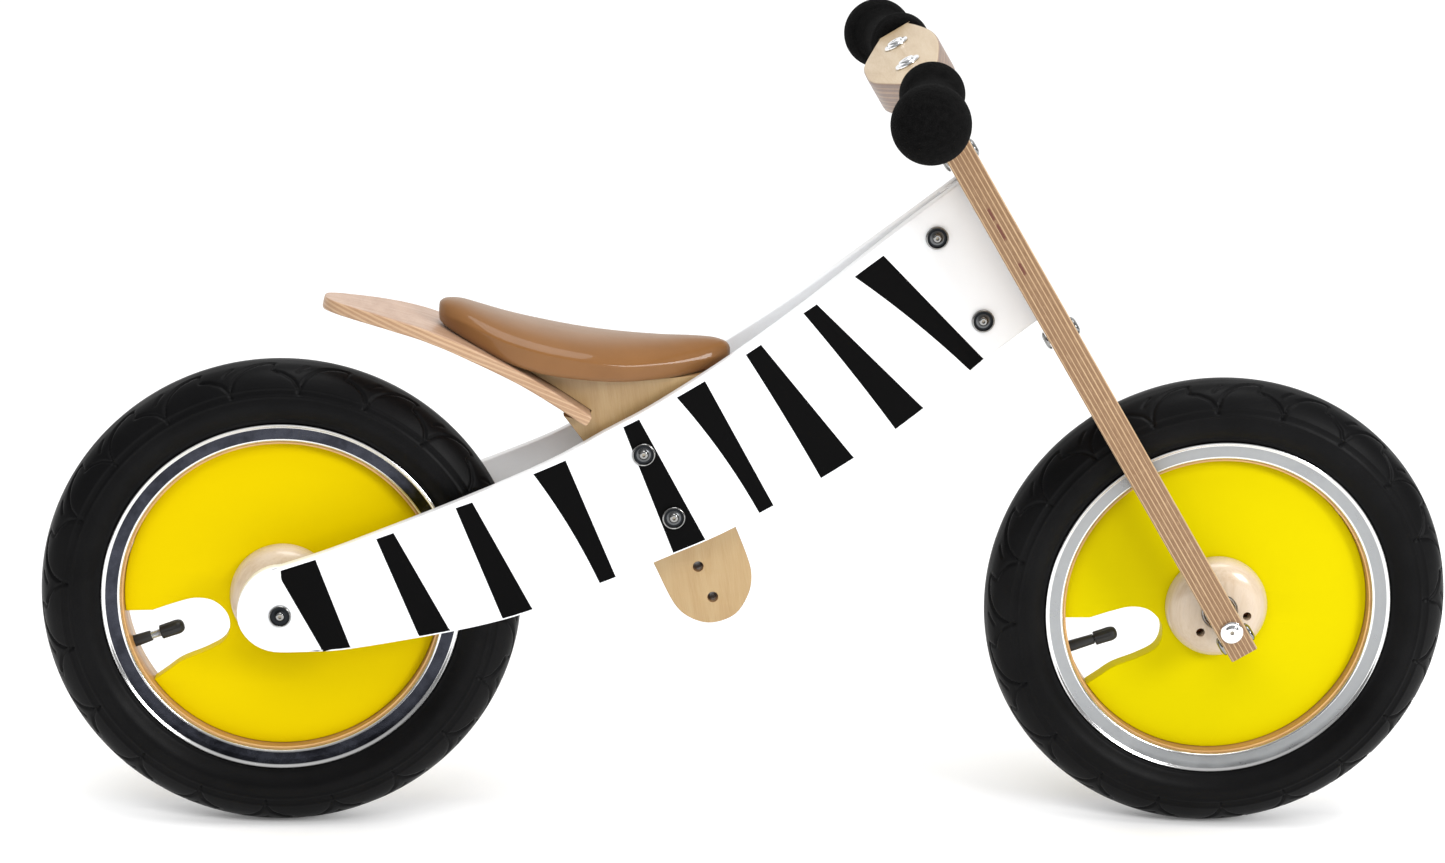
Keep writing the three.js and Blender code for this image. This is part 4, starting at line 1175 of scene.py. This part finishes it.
def make_post():
    tail = spline(TAIL_TOP, 60)
    under = tail - left_normals(tail) * (TAIL_T + 0.3)
    above = tail + left_normals(tail) * 0.3
    seat = [(s[0], s[2] - 0.4) for s in spline(SADDLE_STATIONS, 90) if -158 < s[0] < -26]
    front = spline(POST_FOOT, 60).tolist() + [(-34, 232), (-44, 258), (-44, 276), (-38, 288)]
    slot_end = above[tail[:, 0] > -157].tolist() + [(-108.8, 270.4), (-112.2, 263.8)]
    rest_on = under[(under[:, 0] < -115) & (under[:, 0] > -134)][::-1].tolist()
    core = front + seat[::-1] + slot_end + rest_on + [(-112.4, 250.5)]
    cheek = front + seat[::-1] + slot_end + [(-125.6, 267.0), (-112.4, 250.5)]
    holes = [arc(at, 3.3, 0, 360, 28)[:-1] for at in SPARE_HOLES]
    laminated("seat_post_laminated",
              [([cheek] + holes, -POST_HALF_T, -9.05), ([core] + holes, -8.95, 8.95),
               ([cheek] + holes, 9.05, POST_HALF_T)],
              0.35, POST_WOOD, "frame", "seat_post")


# ------------------------------------------------------------------ fork and handlebar
def make_fork_board():
    half_slot, slot_top, corner = 27.4, 168.0, 14.0
    leg = spline([(BOARD_HALF_W, -18), (52, -19.6), (43.8, -20), (36, -19.6), (half_slot, -18)], 13)
    outline = [(-y, s) for y, s in leg]
    outline += arc((-half_slot + corner, slot_top - corner), corner, 180, 90, 12)
    outline += arc((half_slot - corner, slot_top - corner), corner, 90, 0, 12)
    outline += [(y, s) for y, s in leg[::-1]]
    outline += arc((BOARD_HALF_W - 6, 381.1), 6, 0, 90, 8)
    outline += arc((-BOARD_HALF_W + 6, 381.1), 6, 90, 180, 8)
    window = []
    for y, s, start in ((18.5, 324.6, 0), (-18.5, 324.6, 90), (-18.5, 224.5, 180),
                        (18.5, 224.5, 270)):
        window += arc((y, s), 5, start, start + 90, 6)
    cut_plate("fork_board_plywood", [outline, window], BOARD_HALF_T, 0.9,
              lambda y, s, t: steer(s, t, y), FORK_PLY, "fork", "fork_board")


def bar_side(mid, end):
    return spline([(92, end), (90.5, end + (mid - end) * 0.07), (69, end + (mid - end) * 0.42),
                   (32.2, mid * 0.94), (0, mid), (-32.2, mid * 0.94),
                   (-69, end + (mid - end) * 0.42), (-90.5, end + (mid - end) * 0.07),
                   (-92, end)], 49).tolist()


def make_handlebar_block():
    outline = bar_side(23.5, 13) + bar_side(-26, -6.5)[::-1]
    cut_plate("handlebar_block_plywood", [outline], (BAR_S[1] - BAR_S[0]) / 2, 1.6,
              lambda y, n, t: steer(BAR_MIDDLE + t, n, y), BAR_PLY, "fork", "handlebar_block")


GRIP = {"inner": 105.0, "outer": 181.5, "n": 3.0, "inner_r": 19.2, "outer_r": 22.7,
        "neck_r": 13.0, "sweep": 0.1215}


def make_grip(side, sign):
    span = GRIP["outer"] - GRIP["inner"]
    start = 94.3 - GRIP["inner"]
    inner, outer = GRIP["inner_r"], GRIP["outer_r"]
    points = [(5.9, start + 0.2), (9.0, start), (13.0, start + 0.1), (15.2, start + 0.7),
              (16.6, start + 2.2), (18.0, -5.0), (inner, -0.6), (18.3, 4.6), (16.7, 9.2),
              (14.6, 13.0), (13.4, 17.0), (GRIP["neck_r"], 22.0), (13.0, 38.0), (13.2, 48.0),
              (14.2, 54.4)]
    points += [(outer * math.cos(a), span + outer * math.sin(a))
               for a in np.radians(np.linspace(-40, 88, 15))]
    profile = spline(points, 120).tolist()
    profile += [(0, span + outer), (0, 84), (5.9, 84)]
    tilt = math.atan(GRIP["sweep"])
    axis = SIDE * sign * math.cos(tilt) - FORWARD * math.sin(tilt)
    centre = steer(BAR_MIDDLE, GRIP["n"], sign * GRIP["inner"])
    verts, faces = turned(profile, centre, axis, 72)
    grip = make_piece(f"grip_{side}_foam", verts, faces, [FOAM], "fork", f"grip_{side}",
                      angle=60.0)


# ------------------------------------------------------------------ build
make_tyre("front", FRONT_HUB, 95.2)
make_tyre("rear", REAR_HUB, 86.0)
make_wheel("front", FRONT_HUB)
make_wheel("rear", REAR_HUB)
for side, sign in SIDES:
    make_panel(side, sign)
    make_grip(side, sign)
make_tail_board()
make_saddle()
make_post()
make_fork_board()
make_handlebar_block()

for name, half_w, x, z in (("head_bolt_upper", HEAD_HALF_W, 101, 382),
                           ("head_bolt_lower", HEAD_HALF_W, 132.7, 330.7),
                           ("seat_bolt_upper", SEAT_HALF_W, -77, 247.4),
                           ("seat_bolt_lower", SEAT_HALF_W, -57, 207.7)):
    make_side_bolt(f"{name}_cup", vec(x, 0, z), half_w, 3.0, CUP_HEAD, "frame", name,
                   CUP_PAINTED_SHADE_RINGS, 0.95)
make_side_bolt("rear_axle_cup", REAR_HUB, REAR_HALF_W, 4.0, [(r * 0.95, h) for r, h in CUP_HEAD],
               "frame", "rear_axle", AXLE_PAINTED_SHADE_RINGS, 0.95)
make_side_bolt("front_axle_domed", FRONT_HUB, BOARD_HALF_W, 4.0, DOME_HEAD, "fork", "front_axle",
               finish=CHROME)
for level, s in (("lower", 206), ("upper", 337)):
    make_bolt(f"cross_bolt_{level}_button", (steer(s, -9.3), steer(s, 9.3)), 2.5, BUTTON_HEAD,
              "fork", f"cross_bolt_{level}")
for side, sign in SIDES:
    make_bolt(f"leg_bolt_{side}_button", (steer(-12, -9.3, 44 * sign), steer(-12, 9.3, 44 * sign)),
              2.5, BUTTON_HEAD, "fork", f"leg_bolt_{side}")
    make_stem_bolt(side, sign)

# CAD nodes whose shape is right get a finish of their own.
CARRIED = {
    "head_block": WHITE, "handlebar": ZINC, "pivot_pin": ZINC,
    "post_spacer_right": NYLON, "post_spacer_left": NYLON,
    "pivot_washer_upper": NYLON, "pivot_washer_lower": NYLON,
    "front_inner_tube": TUBE, "rear_inner_tube": TUBE,
    "front_axle_spacer_right": ZINC, "front_axle_spacer_left": ZINC,
    "rear_axle_spacer_right": ZINC, "rear_axle_spacer_left": ZINC,
}
for node, material in CARRIED.items():
    slots = frame["nodes"][node].data.materials
    slots.clear()
    slots.append(material)


# ------------------------------------------------------------------ studio
def make_floor():
    m = Material("floor_paper")
    cloud = m.noise(m.point, 0.6, 2.0)
    m.set(Base_Color=m.mix(cloud, (0.9, 0.9, 0.9), (0.92, 0.92, 0.92)), Roughness=0.9,
          Specular_IOR_Level=0.1, Emission_Color=(1, 1, 1, 1), Emission_Strength=0.1)
    mesh = bpy.data.meshes.new("floor_sheet")
    half = 40.0
    mesh.from_pydata([(-half, -half, 0), (half, -half, 0), (half, half, 0), (-half, half, 0)], [],
                     [(0, 1, 2, 3)])
    mesh.materials.append(m.material)
    floor = add_object("floor_sheet", mesh)
    floor.location.z = -0.0003


def area_light(name, at, target, size, power, glossy=True):
    data = bpy.data.lights.new(name, "AREA")
    data.shape = "RECTANGLE"
    data.size, data.size_y = size
    data.energy = power
    lamp = add_object(name, data)
    lamp.location = at
    lamp.rotation_euler = (Vector(target) - Vector(at)).to_track_quat("-Z", "Y").to_euler()
    lamp.visible_glossy = glossy


def make_studio():
    world = bpy.data.worlds.new("studio")
    scene.world = world
    world.use_nodes = True
    n = Nodes(world.node_tree)
    way = n.add("ShaderNodeSeparateXYZ", {0: n.way}).outputs
    overhead = n.ramp(way["Z"], (0.0, (0.22,) * 3), (0.25, (0.5,) * 3), (0.6, (0.9,) * 3),
                      (1.0, (1.25,) * 3))
    backdrop = n.range(way["Y"], 0.1, 0.8, 0.0, 1.5)
    background = n.tree.nodes["Background"].inputs
    n.put(background["Color"], n.sum(overhead, backdrop))
    background["Strength"].default_value = 0.55
    sun = bpy.data.lights.new("overhead", "SUN")
    sun.energy = 1.3
    sun.angle = math.radians(34)
    add_object("overhead", sun).rotation_euler = (math.radians(12), math.radians(6), 0)
    area_light("key", (1.82, -2.14, 1.3), (0.05, 0, 0.25), (0.9, 0.9), 44)
    area_light("fill", (-0.6, -1.9, 1.9), (-0.05, 0, 0.25), (1.8, 1.0), 27, glossy=False)


make_floor()
make_studio()
scene.view_settings.view_transform = "Standard"
scene.view_settings.look = "None"
scene.view_settings.exposure = 0.0
